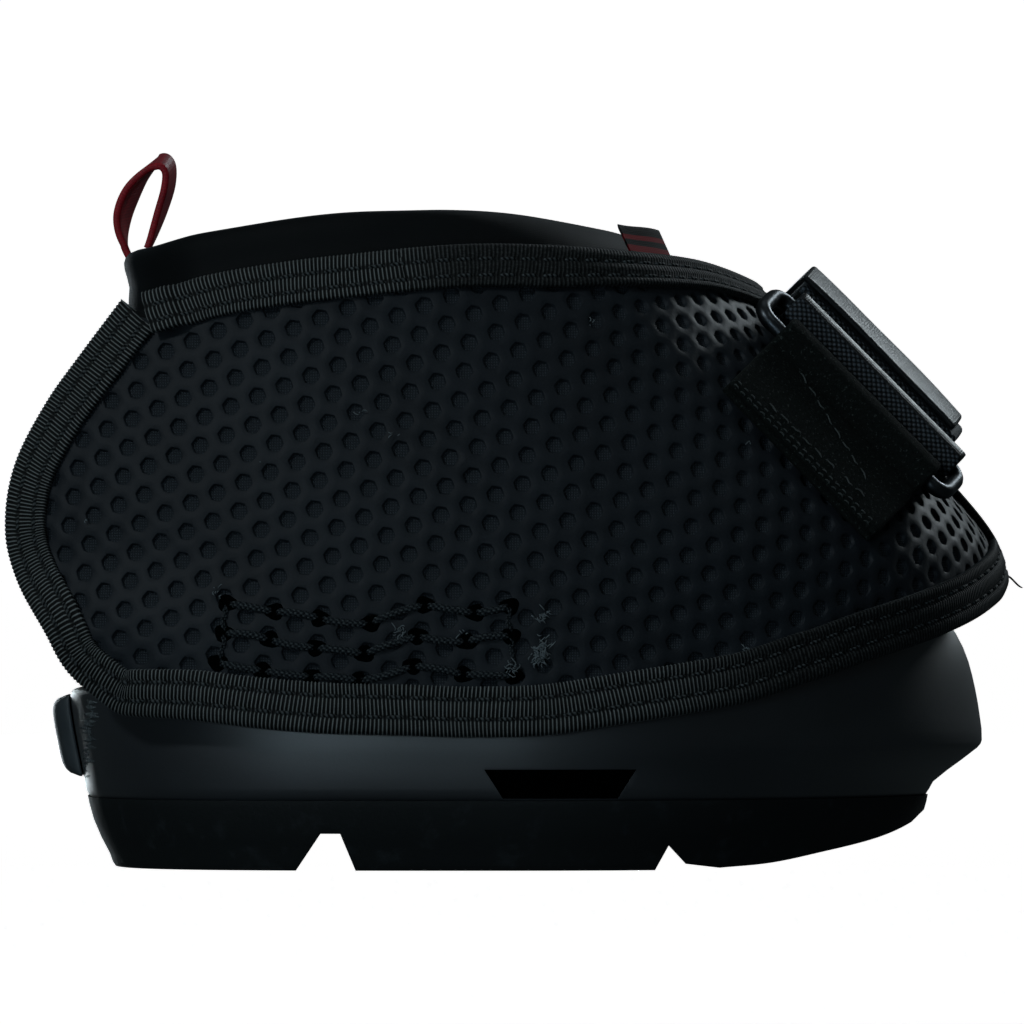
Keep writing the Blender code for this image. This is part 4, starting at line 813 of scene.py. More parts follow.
def makeHoneycomb(side):
    pitch, turn = honeycomb["pitch"], honeycomb["turn"]
    sides, ringCount = 12, len(honeycomb["rings"])  # even points at middles of a cell's sides, odd at corners
    first, second = (pitch * np.array((math.cos(way), math.sin(way))) for way in (turn, turn + math.pi / 3))
    wide, tall = honeycomb["grid"]
    grid = np.array([(i, j) for i in range(-wide, wide + 1) for j in range(-tall, tall + 1)])
    centres = np.array((0, honeycomb["anchor"][1])) + grid[:, :1] * first + grid[:, 1:] * second
    near = [np.abs(centres[:, i] - middle) < half for i, (middle, half) in enumerate(honeycomb["reach"])]
    centres = centres[near[0] & near[1]]
    angle, z = unflatten(centres)
    centres = centres[insideEdges(angle, z, side)]
    turns = turn + math.radians(30) * np.arange(sides)
    ways = joined(np.cos(turns), np.sin(turns))
    sharp, rounded = (np.where(np.arange(sides) % 2, corner, 1.0) for corner in (1 / math.cos(math.pi / 6), 1.115))
    outline = centres[:, None] + ways * (sharp * pitch / 2)[:, None]
    keys, index = np.unique(np.round(outline.reshape(-1, 2) / 1e-6).astype(int), axis=0, return_inverse=True)
    shared, index = keys * 1e-6, index.reshape(-1, sides)
    flats, offsets = [shared], [np.full(len(shared), honeycomb["crown"])]
    for grow, offset in honeycomb["rings"]:
        ring = centres[:, None] + ways * (rounded * (honeycomb["pit"] / 2 + grow * mm))[:, None]
        flats.append(ring.reshape(-1, 2))
        offsets.append(np.full(len(centres) * sides, offset * mm))
    flats.append(shared)
    offsets.append(np.full(len(shared), -upper["panel"]))
    flat, offset = np.concatenate(flats), np.concatenate(offsets)
    angle, z = unflatten(flat)
    base = sideParts(side)[1]
    points = upperPoint(angle, z, base(angle) + offset, side)
    faces, looks, uses = [], [], {}
    ringStart = len(shared)
    backStart = ringStart + len(centres) * sides * ringCount
    for cell, outer in enumerate(index):
        lows = [ringStart + (ring * len(centres) + cell) * sides for ring in range(ringCount)]
        loops = [list(outer)] + [list(range(low, low + sides)) for low in lows]
        for step, (loop, inner) in enumerate(zip(loops, loops[1:])):
            for i in range(sides):
                after = (i + 1) % sides
                faces.append((loop[i], loop[after], inner[after], inner[i]))
                looks.append(int(step >= honeycomb["floorFrom"]))
        faces.append(tuple(loops[-1]))
        looks.append(1)
        faces.append(tuple(backStart + i for i in reversed(outer)))
        looks.append(0)
        for i in range(sides):
            edge = (outer[i], outer[(i + 1) % sides])
            uses[frozenset(edge)] = edge if frozenset(edge) not in uses else None
    for edge in uses.values():
        if edge:
            faces.append((edge[1], edge[0], backStart + edge[0], backStart + edge[1]))
            looks.append(0)
    cloth = np.concatenate((flat / mm, offset[:, None] / mm), axis=1)
    name = sideNames[side]
    sheet = addPiece(name + "Honeycomb", points, faces, cloth, [skins["honeycomb"], skins["floor"]], looks)
    declare(sheet, "honeycomb", (name + "_panel", name + "_flap"), side=side)
    return len(centres)


for side in (rightSide, leftSide):
    print(sideNames[side], "honeycomb cells:", makeHoneycomb(side))


# Binding tapes: ribbed, folded round each edge, with two sunk rows of stitching

tapes = {
    "rib": 0.66 * mm, "ribDepth": 0.20 * mm, "picot": 0.24 * mm, "rows": (0.25, 0.72), "groove": 0.50 * mm,
    "rowHalf": 0.72 * mm, "sway": 0.20 * mm, "hem": 0.20 * mm, "slack": 0.22 * mm,
    "widths": {"bottom": (6.2 * mm, 6.8 * mm), "top": (5.6 * mm, 5.6 * mm), "front": (6.5 * mm, 6.5 * mm)},
    "insets": {"bottom": (0.0, 1.3 * mm), "top": (1.0 * mm, 1.0 * mm), "front": (0.0, 0.0)},
    "stitch": 3.0 * mm, "gap": 0.6 * mm, "stitchStep": 0.6 * mm, "thread": 0.30 * mm,
    "lap": 8.0 * mm, "overhang": 1.4 * mm, "samples": 600, "frontLap": 2.2 * mm, "frontRise": 1.2 * mm,
    "corner": (6 * mm, 26 * mm), "beforeCorner": 10 * mm, "lapEnd": 2.5 * mm, "frontSink": 0.40 * mm}


def edgeLine(side, edge):  # an edge of the upper as flat points, from the heel or from below
    flap, count = sideParts(side)[0], tapes["samples"]
    shares = np.linspace(0, 1, count)
    if edge == "front":
        angle, z = flap(np.ones(count), shares)
        return flatten(angle + 0 * shares, z)
    ends = [patch(shares, np.full(count, float(edge == "top"))) for patch in (sidePatch, flap)]
    if edge == "top":
        line = np.concatenate([flatten(*end) for end in ends])
        return np.concatenate((line[:1] - tapes["overhang"] * unit(line[1:2] - line[:1]), line))
    ends.insert(0, sidePatch(np.zeros(count), shares[::-1]))  # the bottom tape first comes down the rear edge
    return np.concatenate([flatten(angle + 0 * shares, z) for angle, z in ends])


def smoothed(values, reach):
    kernel = np.hanning(2 * reach + 1)
    padded = np.concatenate((np.repeat(values[:1], reach, 0), values, np.repeat(values[-1:], reach, 0)))
    return joined(*(np.convolve(column, kernel / kernel.sum(), "valid") for column in padded.T))


def alongEdge(side, edge, start, stop, spacing):  # evenly spaced places and the way inwards
    line = smoothed(edgeLine(side, edge), 14 if edge == "bottom" else 1)
    lengths = pathLengths(line)
    steps = np.arange(start, lengths[-1] - stop, spacing)
    places = joined(*(np.interp(steps, lengths, column) for column in line.T))
    reach = max(2, int(3 * mm / spacing))
    tangent = unit(smoothed(np.gradient(places, axis=0), reach))
    sign = -1 if edge == "top" else 1
    return steps, places, sign * leftOf(tangent)


def fromCloth(side, flat, offset):
    angle, z = unflatten(flat)
    return upperPoint(angle, z, sideParts(side)[1](angle) + offset, side)


def tapeSection(width, held, rib, picot):  # (inset, offset) pairs round the folded tape
    proud = upper["proud"] - rib
    gap, hem, edge, under = tapes["slack"], tapes["hem"], width + picot, -held - proud
    rounding = [(math.cos(turn), math.sin(turn)) for turn in np.radians((20, 45, 70))]
    section = [(edge, gap), (edge, proud - hem), (edge - hem, proud)]
    for share in reversed(tapes["rows"]):
        section += [(width * share + tapes["rowHalf"], proud), (width * share, proud - tapes["groove"]),
                    (width * share - tapes["rowHalf"], proud)]
    section.append((0.3 * mm + 0 * width, proud))
    section += [(-proud * sine, proud * cosine) for cosine, sine in rounding]
    section += [(-proud, 0), (-proud, -held)]
    section += [(-proud * cosine, -held - proud * sine) for cosine, sine in rounding]
    section += [(0, under), (width * 0.5, under), (edge - hem, under), (edge, -held - gap), (width * 0.5, -held - gap),
                (-gap, -held - gap), (-gap, gap), (width * 0.5, gap)]
    return np.array([[inset + 0 * width, offset + 0 * held] for inset, offset in section])  # (point, 2, place)


def tapeStations(side, edge, start, stop, spacing):  # with the width, what the tape holds and how far it is raised
    steps, line, inward = alongEdge(side, edge, start, stop, spacing)
    corner, cornerEnd = tapes["corner"]
    rearLength = pathLengths(edgeLine(side, edge)[:tapes["samples"]])[-1] if edge == "bottom" else 0
    onward = ease((steps - rearLength - corner + tapes["beforeCorner"]) / (cornerEnd - corner))
    width = lerp(*tapes["widths"][edge], onward)
    line = line + inward * lerp(*tapes["insets"][edge], onward)[:, None]
    held = lerp(upper["sleeve"], upper["panel"], onward) if edge == "bottom" else upper["sleeve"] + 0 * steps
    raised = 0 * steps
    if edge == "top":  # its rear end laps over the bottom tape
        raised = (upper["proud"] + 0.1 * mm) * ease((tapes["lap"] - steps) / tapes["lapEnd"] + 1)
    if edge == "front":  # its low end goes under the bottom tape
        raised = -tapes["frontSink"] * ease((start + tapes["frontLap"] - steps) / tapes["frontRise"])
    return steps, line, inward, width, held, raised


def makeTape(name, side, edge, start, stop, nodes, body=None):
    steps, line, inward, width, held, raised = tapeStations(side, edge, start, stop, tapes["rib"] / 2)
    odd = (np.arange(len(steps)) % 2)[None, None]
    fade = np.array(tapeFades[edge]) * mm
    depth = tapes["ribDepth"] * (1 - 0.8 * ease((steps - start - fade[0]) / (fade[1] - fade[0])))
    section = np.where(odd, tapeSection(width, held, depth, 0), tapeSection(width, held, 0 * depth, tapes["picot"]))
    inset, offset = section[:, 0].T, section[:, 1].T
    outside, inside = offset > 0.05 * mm, offset < -held[:, None] - 0.05 * mm
    offset = offset + raised[:, None] * (outside * 1.0 - inside * 1.0)
    sway = tapes["sway"] * np.sin(steps[:, None] / (6.1 * mm) + inset / (2.3 * mm)) * outside
    onward = -leftOf(inward)
    flat = line[:, None] + inward[:, None] * inset[..., None] + onward[:, None] * sway[..., None]
    rings = fromCloth(side, flat, offset)
    plain = tapeSection(np.array(7 * mm), np.array(upper["panel"]), 0, 0)
    # the third cloth coordinate marks the sunk rows, where the tape's colour is darkened as painted shade
    sunk = np.isclose(plain[:, 1], upper["proud"] - tapes["groove"])
    cloth = joined((steps[:, None] - start) / mm, pathLengths(plain)[None] / mm, sunk[None])
    piece = ringPiece(name, rings, cloth, [skins[edge]])
    declare(piece, "binding", nodes, body, side)
    makeTapeStitches(name, side, edge, start + mm, stop + mm, body)


def makeTapeStitches(name, side, edge, start, stop, body):
    runs = []
    steps, line, inward, width, held, raised = tapeStations(side, edge, start, stop, tapes["stitchStep"])
    period = int(round((tapes["stitch"] + tapes["gap"]) / tapes["stitchStep"]))
    height = upper["proud"] - tapes["groove"] * 0.75 + raised
    for row in tapes["rows"]:
        flat = line + inward * width[:, None] * row
        threads, outer = (fromCloth(side, flat, height + more) for more in (0, mm))
        for first in range(0, len(threads) - period, period):
            path = threads[first:first + period].copy()
            way = unit(outer[first:first + period] - path)
            path[[0, -1]] -= way[[0, -1]] * tapes["groove"]
            runs.append((path, way))
    stitches = threadPiece(name + "Stitches", runs, tapes["thread"], skins["seam"])
    declare(stitches, "thread", (), body, side)


for side in (rightSide, leftSide):
    name = sideNames[side]
    stop = upper["overlap"] + 3.5 * mm if side == leftSide else 0.0  # the left tapes stop under the right flap's edge
    makeTape(name + "BottomTape", side, "bottom", 0.5 * mm, stop,
             (name + "_rear_tape", name + "_bottom_tape", name + "_flap_bottom_tape"))
    makeTape(name + "TopTape", side, "top", 4.4 * mm, stop, (name + "_top_tape", name + "_flap_top_tape"))
    corner = {edge: tapes["widths"][edge][1] + tapes["insets"][edge][1] + 0.6 * mm for edge in ("bottom", "top")}
    makeTape(name + "FrontTape", side, "front", corner["bottom"] - 2.0 * mm, corner["top"],
             (name + "_flap_front_tape",), name + "_flap")
print("tapes made")


# Linings and fastener pads: plain layers of cloth

def layerPiece(name, patch, base, side, low, high, look, columns, rows, across=(0.0, 1.0), up=(0.0, 1.0)):
    place = across[0] + (across[1] - across[0]) * np.linspace(0, 1, columns)[:, None]
    lows, highs = (edge(place) if callable(edge) else edge for edge in up)
    share = lerp(lows, highs, np.linspace(0, 1, rows)[None])
    outer, inner = (patchPoint(patch, side, base, place + 0 * share, share, offset) for offset in (high, low))
    lengths = pathLengths(outer[:, rows // 2])
    heights = pathLengths(outer[columns // 2])
    cloth = joined(lengths[:, None] / mm, heights[None] / mm, 0.0)
    return sheetPiece(name, outer, inner, cloth, [skins[look]])


def fromEdge(patch, distance):  # share across a patch, this far behind its front edge
    line = patchPoint(patch, rightSide, flatBase, np.linspace(0, 1, 40), 0.5, 0.0)
    return 1 - distance / pathLengths(line)[-1]


lining = {"rimZ": 0.0355, "lowest": 0.12, "up": 0.98, "flapUp": (0.03, 0.97), "setback": 2 * mm}
pads = {"frontInset": 8.5 * mm, "size": (14, 30), "hookUp": (0.16, 0.86), "loopUp": (0.14, 0.76),
        "hookRise": -upper["panel"] - 0.6 * mm, "loopRises": (0.5 * mm, 1.0 * mm)}


def rimShare(across):  # starts above the cup's rim and the bottom tape
    lowZ, highZ = (sidePatch(across, 0.0 * across + up)[1] for up in (0, 1))
    return np.maximum((lining["rimZ"] - lowZ) / (highZ - lowZ), lining["lowest"])


def makeLinings(side):
    name = sideNames[side]
    flap, base = sideParts(side)
    layers = side, -upper["sleeve"], -upper["panel"] - upper["layerGap"], "neoprene"
    sheet = layerPiece(name + "Lining", sidePatch, flatBase, *layers, 60, 24, up=(rimShare, lining["up"]))
    declare(sheet, "lining", (name + "_lining",), "root")
    end = 1.0 if side == leftSide else fromEdge(flap, upper["overlap"] + lining["setback"])
    sheet = layerPiece(name + "FlapLining", flap, base, *layers, 50, 24, across=(0.0, end), up=lining["flapUp"])
    declare(sheet, "lining", (name + "_flap_lining",), name + "_flap")


def makeFlapPads():
    reach = fromEdge(flapPatch, upper["overlap"] - 2 * mm), fromEdge(flapPatch, pads["frontInset"])
    hooks = layerPiece("rightHookPatch", flapPatch, flatBase, rightSide, -upper["sleeve"], pads["hookRise"], "pile",
                       *pads["size"], across=reach, up=pads["hookUp"])
    declare(hooks, "pile", ("right_hook_patch",), "right_flap")
    reach = fromEdge(tuckedPatch, upper["overlap"] - 10.5 * mm), fromEdge(tuckedPatch, pads["frontInset"])
    loops = layerPiece("leftLoopPatch", tuckedPatch, tuckedBase, leftSide, *pads["loopRises"], "pile",
                       *pads["size"], across=reach, up=pads["loopUp"])
    declare(loops, "pile", ("left_loop_patch",), "left_flap")


for side in (rightSide, leftSide):
    makeLinings(side)
makeFlapPads()
print("linings made")


# Stitched boxes: heavy twine between needle holes in three rows and two columns, with frayed ends

stitchBox = {
    "rows": (((-49.4, 43.2), (-41.9, 41.9), (-34.5, 40.8), (-26.5, 40.0), (-17.6, 43.0), (-9.6, 41.7), (-4.0, 42.8)),
             ((-50.0, 38.4), (-42.6, 37.4), (-35.2, 36.1), (-27.4, 35.1), (-18.8, 38.0), (-11.0, 37.1), (-3.8, 38.0)),
             ((-51.0, 33.7), (-43.7, 32.4), (-35.9, 31.4), (-28.3, 30.8), (-19.6, 33.2), (-11.4, 31.8), (-3.4, 31.6))),
    "strand": 0.34 * mm, "twist": 2.4 * mm, "stand": 0.36 * mm, "holeShade": 1.6 * mm,
    "lint": (((-28.1, 73.4, 0.8, 3), (-22.6, 70.5, 0.8, 3), (-72.2, 56.4, 0.9, 2), (-44.0, 66.0, 0.4, 1)),
             ((9.1, 88.1, 0.5, 3), (34.3, 69.2, 0.7, 3), (33.5, 35.6, 1.0, 8), (54.6, 38.8, 0.8, 5),
              (62.0, 52.0, 0.5, 2))),
    "holePoints": 14, "holeRings": ((1.0, 0.07 * mm), (1.0, 0.13 * mm), (0.75, 0.16 * mm)),
    "fibres": ((0.8, 35.4, 1.5, 26), (1.2, 41.1, 0.9, 12), (-21.6, 38.8, 0.9, 10), (-11.5, 38.3, 0.5, 5),
               (-51.0, 44.8, 0.9, 7), (-4.0, 33.0, 1.2, 9), (0.9, 34.6, 1.0, 22), (1.3, 36.4, 0.8, 14))}


def onPanel(x, z, stand, side):
    stand = np.broadcast_to(stand, np.shape(x)).astype(float)
    return upperPoint(angleAt(x, z), z, stand, side)


def panelRun(flat, stand, side):  # a thread's path over the panel and its outward ways
    path, outer = (onPanel(flat[:, 0], flat[:, 1], stand + more, side) for more in (0, mm))
    return path, unit(outer - path)


def makeStitchBox(side):
    name = sideNames[side]
    rows = np.array(stitchBox["rows"]) * mm
    pairs = [pair for row in rows for pair in zip(row, row[1:])]
    pairs += [pair for column in (rows[:, 0], rows[:, -1]) for pair in zip(column, column[1:])]
    runs, thin = [], []
    for number, (start, stop) in enumerate(pairs):
        length = math.dist(start, stop)
        t = np.linspace(0.05, 0.95, max(12, int(length / (0.22 * mm))))
        aside = np.array((-(stop - start)[1], (stop - start)[0])) / length
        sag = 0.35 * mm * math.sin(number * 2.4)
        fine = number >= 3 * (len(rows[0]) - 1)  # the end columns
        for ply in range(2 if fine else 3):
            turn = 2 * math.pi * (t * length / stitchBox["twist"] + ply / 3 + number * 0.13)
            wide = stitchBox["strand"] * 0.95 * np.sin(turn) + sag * np.sin(math.pi * t)
            flat = start + t[:, None] * (stop - start) + wide[:, None] * aside
            dip = 0.9 * mm * (1 - np.sin(math.pi * np.clip(t, 0, 1)) ** 0.35)
            stand = stitchBox["stand"] + 0.30 * mm * np.cos(turn) - dip
            (thin if fine else runs).append(panelRun(flat, stand, side))
    columns = threadPiece(name + "StitchColumns", thin, 0.55 * stitchBox["strand"], skins["twine"])
    declare(columns, "thread", (), "root")
    box = threadPiece(name + "StitchBox", runs, stitchBox["strand"], skins["twine"])
    declare(box, "thread", (name + "_stitch_box",), "root")
    # needle holes: thin near-black discs on the panel, painted shade standing in for the depth of each hole
    points, faces, count = [], [], stitchBox["holePoints"]
    turns = turnsRound(count)
    for number, (x, z) in enumerate(np.unique(rows.reshape(-1, 2).round(6), axis=0)):
        radius, first = stitchBox["holeShade"] * (1 + 0.12 * np.sin(3 * turns + number)), len(points)
        for share, stand in stitchBox["holeRings"]:
            acrossHole, upHole = share * radius * np.cos(turns), 0.85 * share * radius * np.sin(turns)
            points += list(onPanel(x + acrossHole, z + upHole, stand, side))
        faces += ringFaces(3, count, first=first)
        faces += [tuple(range(first + 2 * count, first + 3 * count)), tuple(range(first, first + count))]
    holeShades = addPiece(name + "NeedleHoles", points, faces, np.array(points) / mm, [skins["holeShade"]])
    declare(holeShades, "thread", (), "root")
    makeFibres(name + "Fibres", stitchBox["fibres"] + stitchBox["lint"][0], side, "root")
    makeFibres(name + "FlapFibres", stitchBox["lint"][1], side, name + "_flap")


def makeFibres(name, tufts, side, body):
    random = np.random.default_rng(len(name))
    runs = []
    for x, z, reach, count in tufts:
        for _ in range(count if count < 9 else 2 * count):
            start, bend = random.normal(0, reach * 0.5, 2), random.normal(0, min(0.55, reach * 0.7), 2)
            t = np.linspace(0, 1, 7)[:, None]
            flat = (np.array((x, z)) + start + bend * t + 0.3 * bend[::-1] * np.sin(3 * t)) * mm
            stand = (0.35 + random.uniform(0, 0.5) * np.sin(2.6 * t[:, 0]) + random.uniform(0, 0.35)) * mm
            runs.append(panelRun(flat, stand, side))
    fibres = threadPiece(name, runs, 0.085 * mm, skins["frayed"], sides=4)
    declare(fibres, "thread", (), body)


looseThread = {"start": (76.6, -3.5, 47.3), "run": (3.6, -0.8, -1.6), "curl": (0, 0.3, 0.45), "radius": 0.16 * mm}


def makeLooseThread():  # an end of the binding's seam that hangs out at the toe
    t = np.linspace(0, 1, 14)[:, None]
    path = np.array(looseThread["start"]) + t * looseThread["run"] + np.sin(5 * t) * looseThread["curl"]
    run = (path * mm, np.tile((0.0, -1, 0), (len(t), 1)))
    thread = threadPiece("looseThread", [run], looseThread["radius"], skins["seam"])
    declare(thread, "thread", (), "right_flap")


makeLooseThread()
for side in (rightSide, leftSide):
    makeStitchBox(side)
print("stitched boxes made")


# Padded collar: a neoprene roll in two halves that meet at the back seam

collarRoll = {"thickness": 10.6 * mm, "frontThickness": 3.4 * mm, "tuck": 12.0 * mm, "frontAngle": 0.37, "rings": 130,
              "around": 36, "wrinkle": 0.35 * mm, "seam": 0.8 * mm, "flare": 3.0 * mm,
              "growth": (0.42, 0.75), "flaring": (1.1, 0.5), "seamDepth": 1.90 * mm, "seamRadius": 0.68 * mm,
              "power": 2.4}


def collarStations():
    angles = np.linspace(collarRoll["frontAngle"], math.pi, 400)
    x = planPoint(angles, np.full_like(angles, upper["topZ"]), True)[:, 0]
    growth, flaring = (ease((angles - start) / reach) for start, reach in (collarRoll["growth"], collarRoll["flaring"]))
    thickness = lerp(collarRoll["frontThickness"], collarRoll["thickness"], growth)
    flare = collarRoll["flare"] * flaring
    middle = -upper["collarDepth"] - thickness / 2
    low, high = topZ(x) - collarRoll["tuck"], np.full_like(angles, upper["topZ"])
    for _ in range(8):
        crest = upperPoint(angles, high, middle + flare, leftSide, True)
        high = high + collarTopZ(crest[:, 0]) - crest[:, 2]
    path = upperPoint(angles, (low + high) / 2, middle, leftSide, True)
    return pathLengths(path), angles, low, high, thickness, flare, topZ(x) + upper["proud"] + 0.4 * mm


def softened(rings, reach):  # rounds the rear corners and keeps both ends in place
    kernel = np.hanning(2 * reach + 3)[1:-1]
    before, after = 2 * rings[:1] - rings[reach:0:-1], 2 * rings[-1:] - rings[-2:-reach - 2:-1]
    row = np.concatenate((before, rings, after))
    return sum(share * row[i:i + len(rings)] for i, share in enumerate(kernel / kernel.sum()))


def makeCollar(side):
    lengths, *tables = collarStations()
    stations = np.linspace(0, lengths[-1] - 0.15 * mm, collarRoll["rings"])
    angle, lowZ, highZ, thickness, flare, tapeZ = (np.interp(stations, lengths, values)[:, None] for values in tables)
    toEnd = lengths[-1] - stations
    swell = np.minimum(1, 0.45 + 0.55 * np.sqrt(np.clip(stations / (3 * mm), 0, 1)))
    swell = (swell * (1 - 0.06 * np.exp(-toEnd / collarRoll["seam"])))[:, None]
    lowZ = lerp(highZ - 4 * mm, lowZ, ease(stations / (9 * mm))[:, None])
    turns = turnsRound(collarRoll["around"])[None]
    fold = 0.6 * np.sin(stations / (7.3 * mm)) + 0.4 * np.sin(stations / (3.9 * mm) + 1.3)
    pucker = -collarRoll["wrinkle"] * ease(fold)[:, None] * np.exp(-((turns - 0.9) / 0.7) ** 2)
    rise = powered(np.sin(turns), collarRoll["power"]) * ((highZ - lowZ) / 2 + pucker)
    z = (lowZ + highZ) / 2 + rise * swell
    out = powered(np.cos(turns), collarRoll["power"]) * (thickness / 2 + pucker) * swell
    out = out + flare * ease((z - tapeZ) / (highZ - tapeZ))
    base = sideParts(side)[1]
    offset = base(angle) - upper["collarDepth"] - thickness / 2 + out
    angle, z, offset = np.broadcast_arrays(angle, z, offset)
    rings = softened(upperPoint(angle, z, offset, side, True), 7)
    around = np.linspace(0, 52, collarRoll["around"])[None]
    cloth = joined(stations[:, None] / mm, around, 0.0)
    name = sideNames[side]
    roll = ringPiece(name + "Collar", rings, cloth, [skins["neoprene"]])
    nodes = (name + "_collar_front",) + (("collar_back",) if side == rightSide else ())
    declare(roll, "neoprene", nodes, side=side)
    return rings[-1]


def makeCollarSeam(ring):  # a cord in the slit between the rolls, sunk clear of the pull loop
    ring = ring * (1, 0, 1)
    path = ring - collarRoll["seamDepth"] * unit(ring - ring.mean(axis=0))
    seam = tubePiece("collarSeam", path[::2], collarRoll["seamRadius"], skins["neoprene"], sides=10)
    declare(seam, "neoprene", (), "root")


makeCollarSeam([makeCollar(side) for side in (rightSide, leftSide)][0])


# Heel gusset: stretch fabric between the two wings, with upright pleats

gusset = {"columns": 120, "rows": 50, "thickness": 1.8 * mm, "tuck": 11.0 * mm, "bulge": 6.0 * mm, "pleat": 0.9 * mm,
          "heelRise": 7.3 * mm, "sideRise": 12.5 * mm, "topLap": 2.4 * mm, "lowX": -73.25 * mm, "highInset": 5.3 * mm}


def makeGusset():
    across = np.linspace(-1, 1, gusset["columns"])[:, None]
    up = np.linspace(0, 1, gusset["rows"])[None]
    heelZ, sideZ = upper["bottomZ"] + gusset["heelRise"], upper["bottomZ"] + gusset["sideRise"]
    high = topZ(upper["collarRearX"]) - collarRoll["tuck"] + gusset["topLap"]
    z = lerp(heelZ + (sideZ - heelZ) * across ** 2 + upper["layerGap"], high, up)
    edgeX = rearEdgeX(z) + gusset["tuck"]
    tuck = np.full_like(z, -upper["collarDepth"] - upper["layerGap"])
    edge = upperPoint(angleAt(edgeX, z), z, tuck, leftSide)
    middleX = lerp(gusset["lowX"], upper["collarRearX"] + gusset["highInset"], up)
    middleX = middleX - gusset["bulge"] * np.sin(math.pi * up)
    bend = np.abs(across) ** lerp(3.6, 2.0, up)
    pleat = gusset["pleat"] * np.sin(math.pi * up) * (1 - across ** 4) * np.sin(across * 17 + 1.5 * np.sin(5 * up))
    x = lerp(middleX, edge[..., 0], bend) + 0.5 * pleat
    place = joined(x, across * edge[..., 1], z)
    inward = unit(joined(1 - 0.5 * across ** 2, -across, 0.0))
    cloth = joined(across * 62, z / mm, 0.0)
    sheet = sheetPiece("heelGusset", place, place + inward * gusset["thickness"], cloth, [skins["neoprene"]])
    declare(sheet, "neoprene", ("heel_gusset",), "root")


makeGusset()
print("collar and gusset made")


# Folded label tab with plain stripes

sizeTab = {"width": 6.7 * mm, "height": 6.7 * mm, "thickness": 1.0 * mm, "centreX": 0.0200, "lean": 3.1 * mm}


def makeTab():
    x = sizeTab["centreX"] + sizeTab["width"] * np.linspace(-0.5, 0.5, 24)[:, None]
    turns = np.linspace(-math.pi / 2, math.pi / 2, 9)
    leaf = np.linspace(0, 1, 10)
    half = sizeTab["thickness"] / 2
    rise = np.concatenate((leaf * (sizeTab["height"] - half), sizeTab["height"] - half + half * np.cos(turns)[1:-1],
                           leaf[::-1] * (sizeTab["height"] - half)))[None] / sizeTab["height"]
    out = np.concatenate((np.full(10, half), -half * np.sin(turns)[1:-1], np.full(10, -half)))[None]
    wave = 0.25 * mm * np.sin((x - sizeTab["centreX"]) / (1.6 * mm)) * rise
    offset = -upper["collarDepth"] + upper["layerGap"] + half + out + wave
    x, rise, offset = np.broadcast_arrays(x, rise, offset)
    z = topZ(surfaceX(x, np.full_like(x, upper["topZ"]), offset)) + upper["proud"] + upper["layerGap"]
    foot = upperPoint(angleAt(surfaceX(x, z, offset), z), z, offset, rightSide)
    rings = foot + rise[..., None] * (-sizeTab["lean"], sizeTab["lean"] / 2, sizeTab["height"])
    cloth = joined((x - sizeTab["centreX"]) / mm, rise * sizeTab["height"] / mm, 0 * x)
    tab = ringPiece("labelTab", rings, cloth, [skins["tab"]], flatAngle=50)
    declare(tab, "tab_fabric", ("size_tab",), "right_flap")


makeTab()


# Strap frame: it lies on the dorsal line, with paths of (sideways, outward) points

strap = {
    "width": 37.5 * mm, "thickness": 1.6 * mm, "lift": 2.5 * mm, "leftReach": 38.0 * mm, "strip": 0.9 * mm,
    "cover": 1.1 * mm, "upZ": 0.0770, "wire": 2.6 * mm, "wireClearance": 0.6 * mm, "barReach": 28.5 * mm,
    "barSpacing": 8.3 * mm, "tailStart": 23.6 * mm, "patchMargin": 2.0 * mm, "layerGap": 0.3 * mm,
    "ripple": 0.12 * mm, "recess": (4 * mm, 18 * mm), "padRise": 1.85 * mm, "padThickness": 0.5 * mm}
strapOrigin = np.array((float(frontX(strap["upZ"])), 0, strap["upZ"]))
strapDown = unit(np.array((upper["dorsalSlope"], 0, -1.0)))
strapOut = unit(np.array((1.0, 0, upper["dorsalSlope"])))
strapAcross = np.array((0.0, 1, 0))
bandDowns = np.array((-0.5, -0.25, 0.0, 0.25, 0.5)) * strap["width"]


def bandProfile(down):  # the upper's height over the strap frame, against the distance from the midline
    angles = np.radians(np.linspace(0, 62, 60))
    low, high = np.full(60, upper["bottomZ"]), np.full(60, upper["topZ"] + upper["collarRise"])
    for _ in range(40):
        middle = (low + high) / 2
        below = (planPoint(angles, middle) - strapOrigin) @ strapDown > down
        low, high = np.where(below, middle, low), np.where(below, high, middle)
    points = planPoint(angles, low)
    return points[:, 1], (points - strapOrigin) @ strapOut, angles


bandProfiles = [bandProfile(down) for down in bandDowns]


def bandHeight(y, down=None):  # without down, the highest across the strap's width
    y = np.asarray(y, float)
    heights = np.array([np.interp(np.abs(y), profile[0], profile[1]) for profile in bandProfiles])
    if down is None:
        height = heights.max(axis=0)
    else:
        place = np.clip((down - bandDowns[0]) / (bandDowns[1] - bandDowns[0]), 0, len(bandDowns) - 1.001)
        height = lerp(heights[int(place)], heights[int(place) + 1], place - int(place))
    middle = bandProfiles[len(bandDowns) // 2]
    recess = tuckedBase(np.interp(y, middle[0], middle[2]))
    start, reach = strap["recess"]
    return height + np.where(y > start, recess * ease((y - start) / reach), 0)


def overBand(y, height, down=None):
    step = 0.4 * mm
    tilt = (bandHeight(y + step, down) - bandHeight(y - step, down)) / (2 * step)
    scale = np.hypot(1, tilt)
    return joined(y - height * tilt / scale, bandHeight(y, down) + height / scale)


def strapPlace(point, down):
    place = strapOrigin + strapAcross * point[..., :1] + strapOut * point[..., 1:2]
    return place + strapDown * np.asarray(down)[..., None]


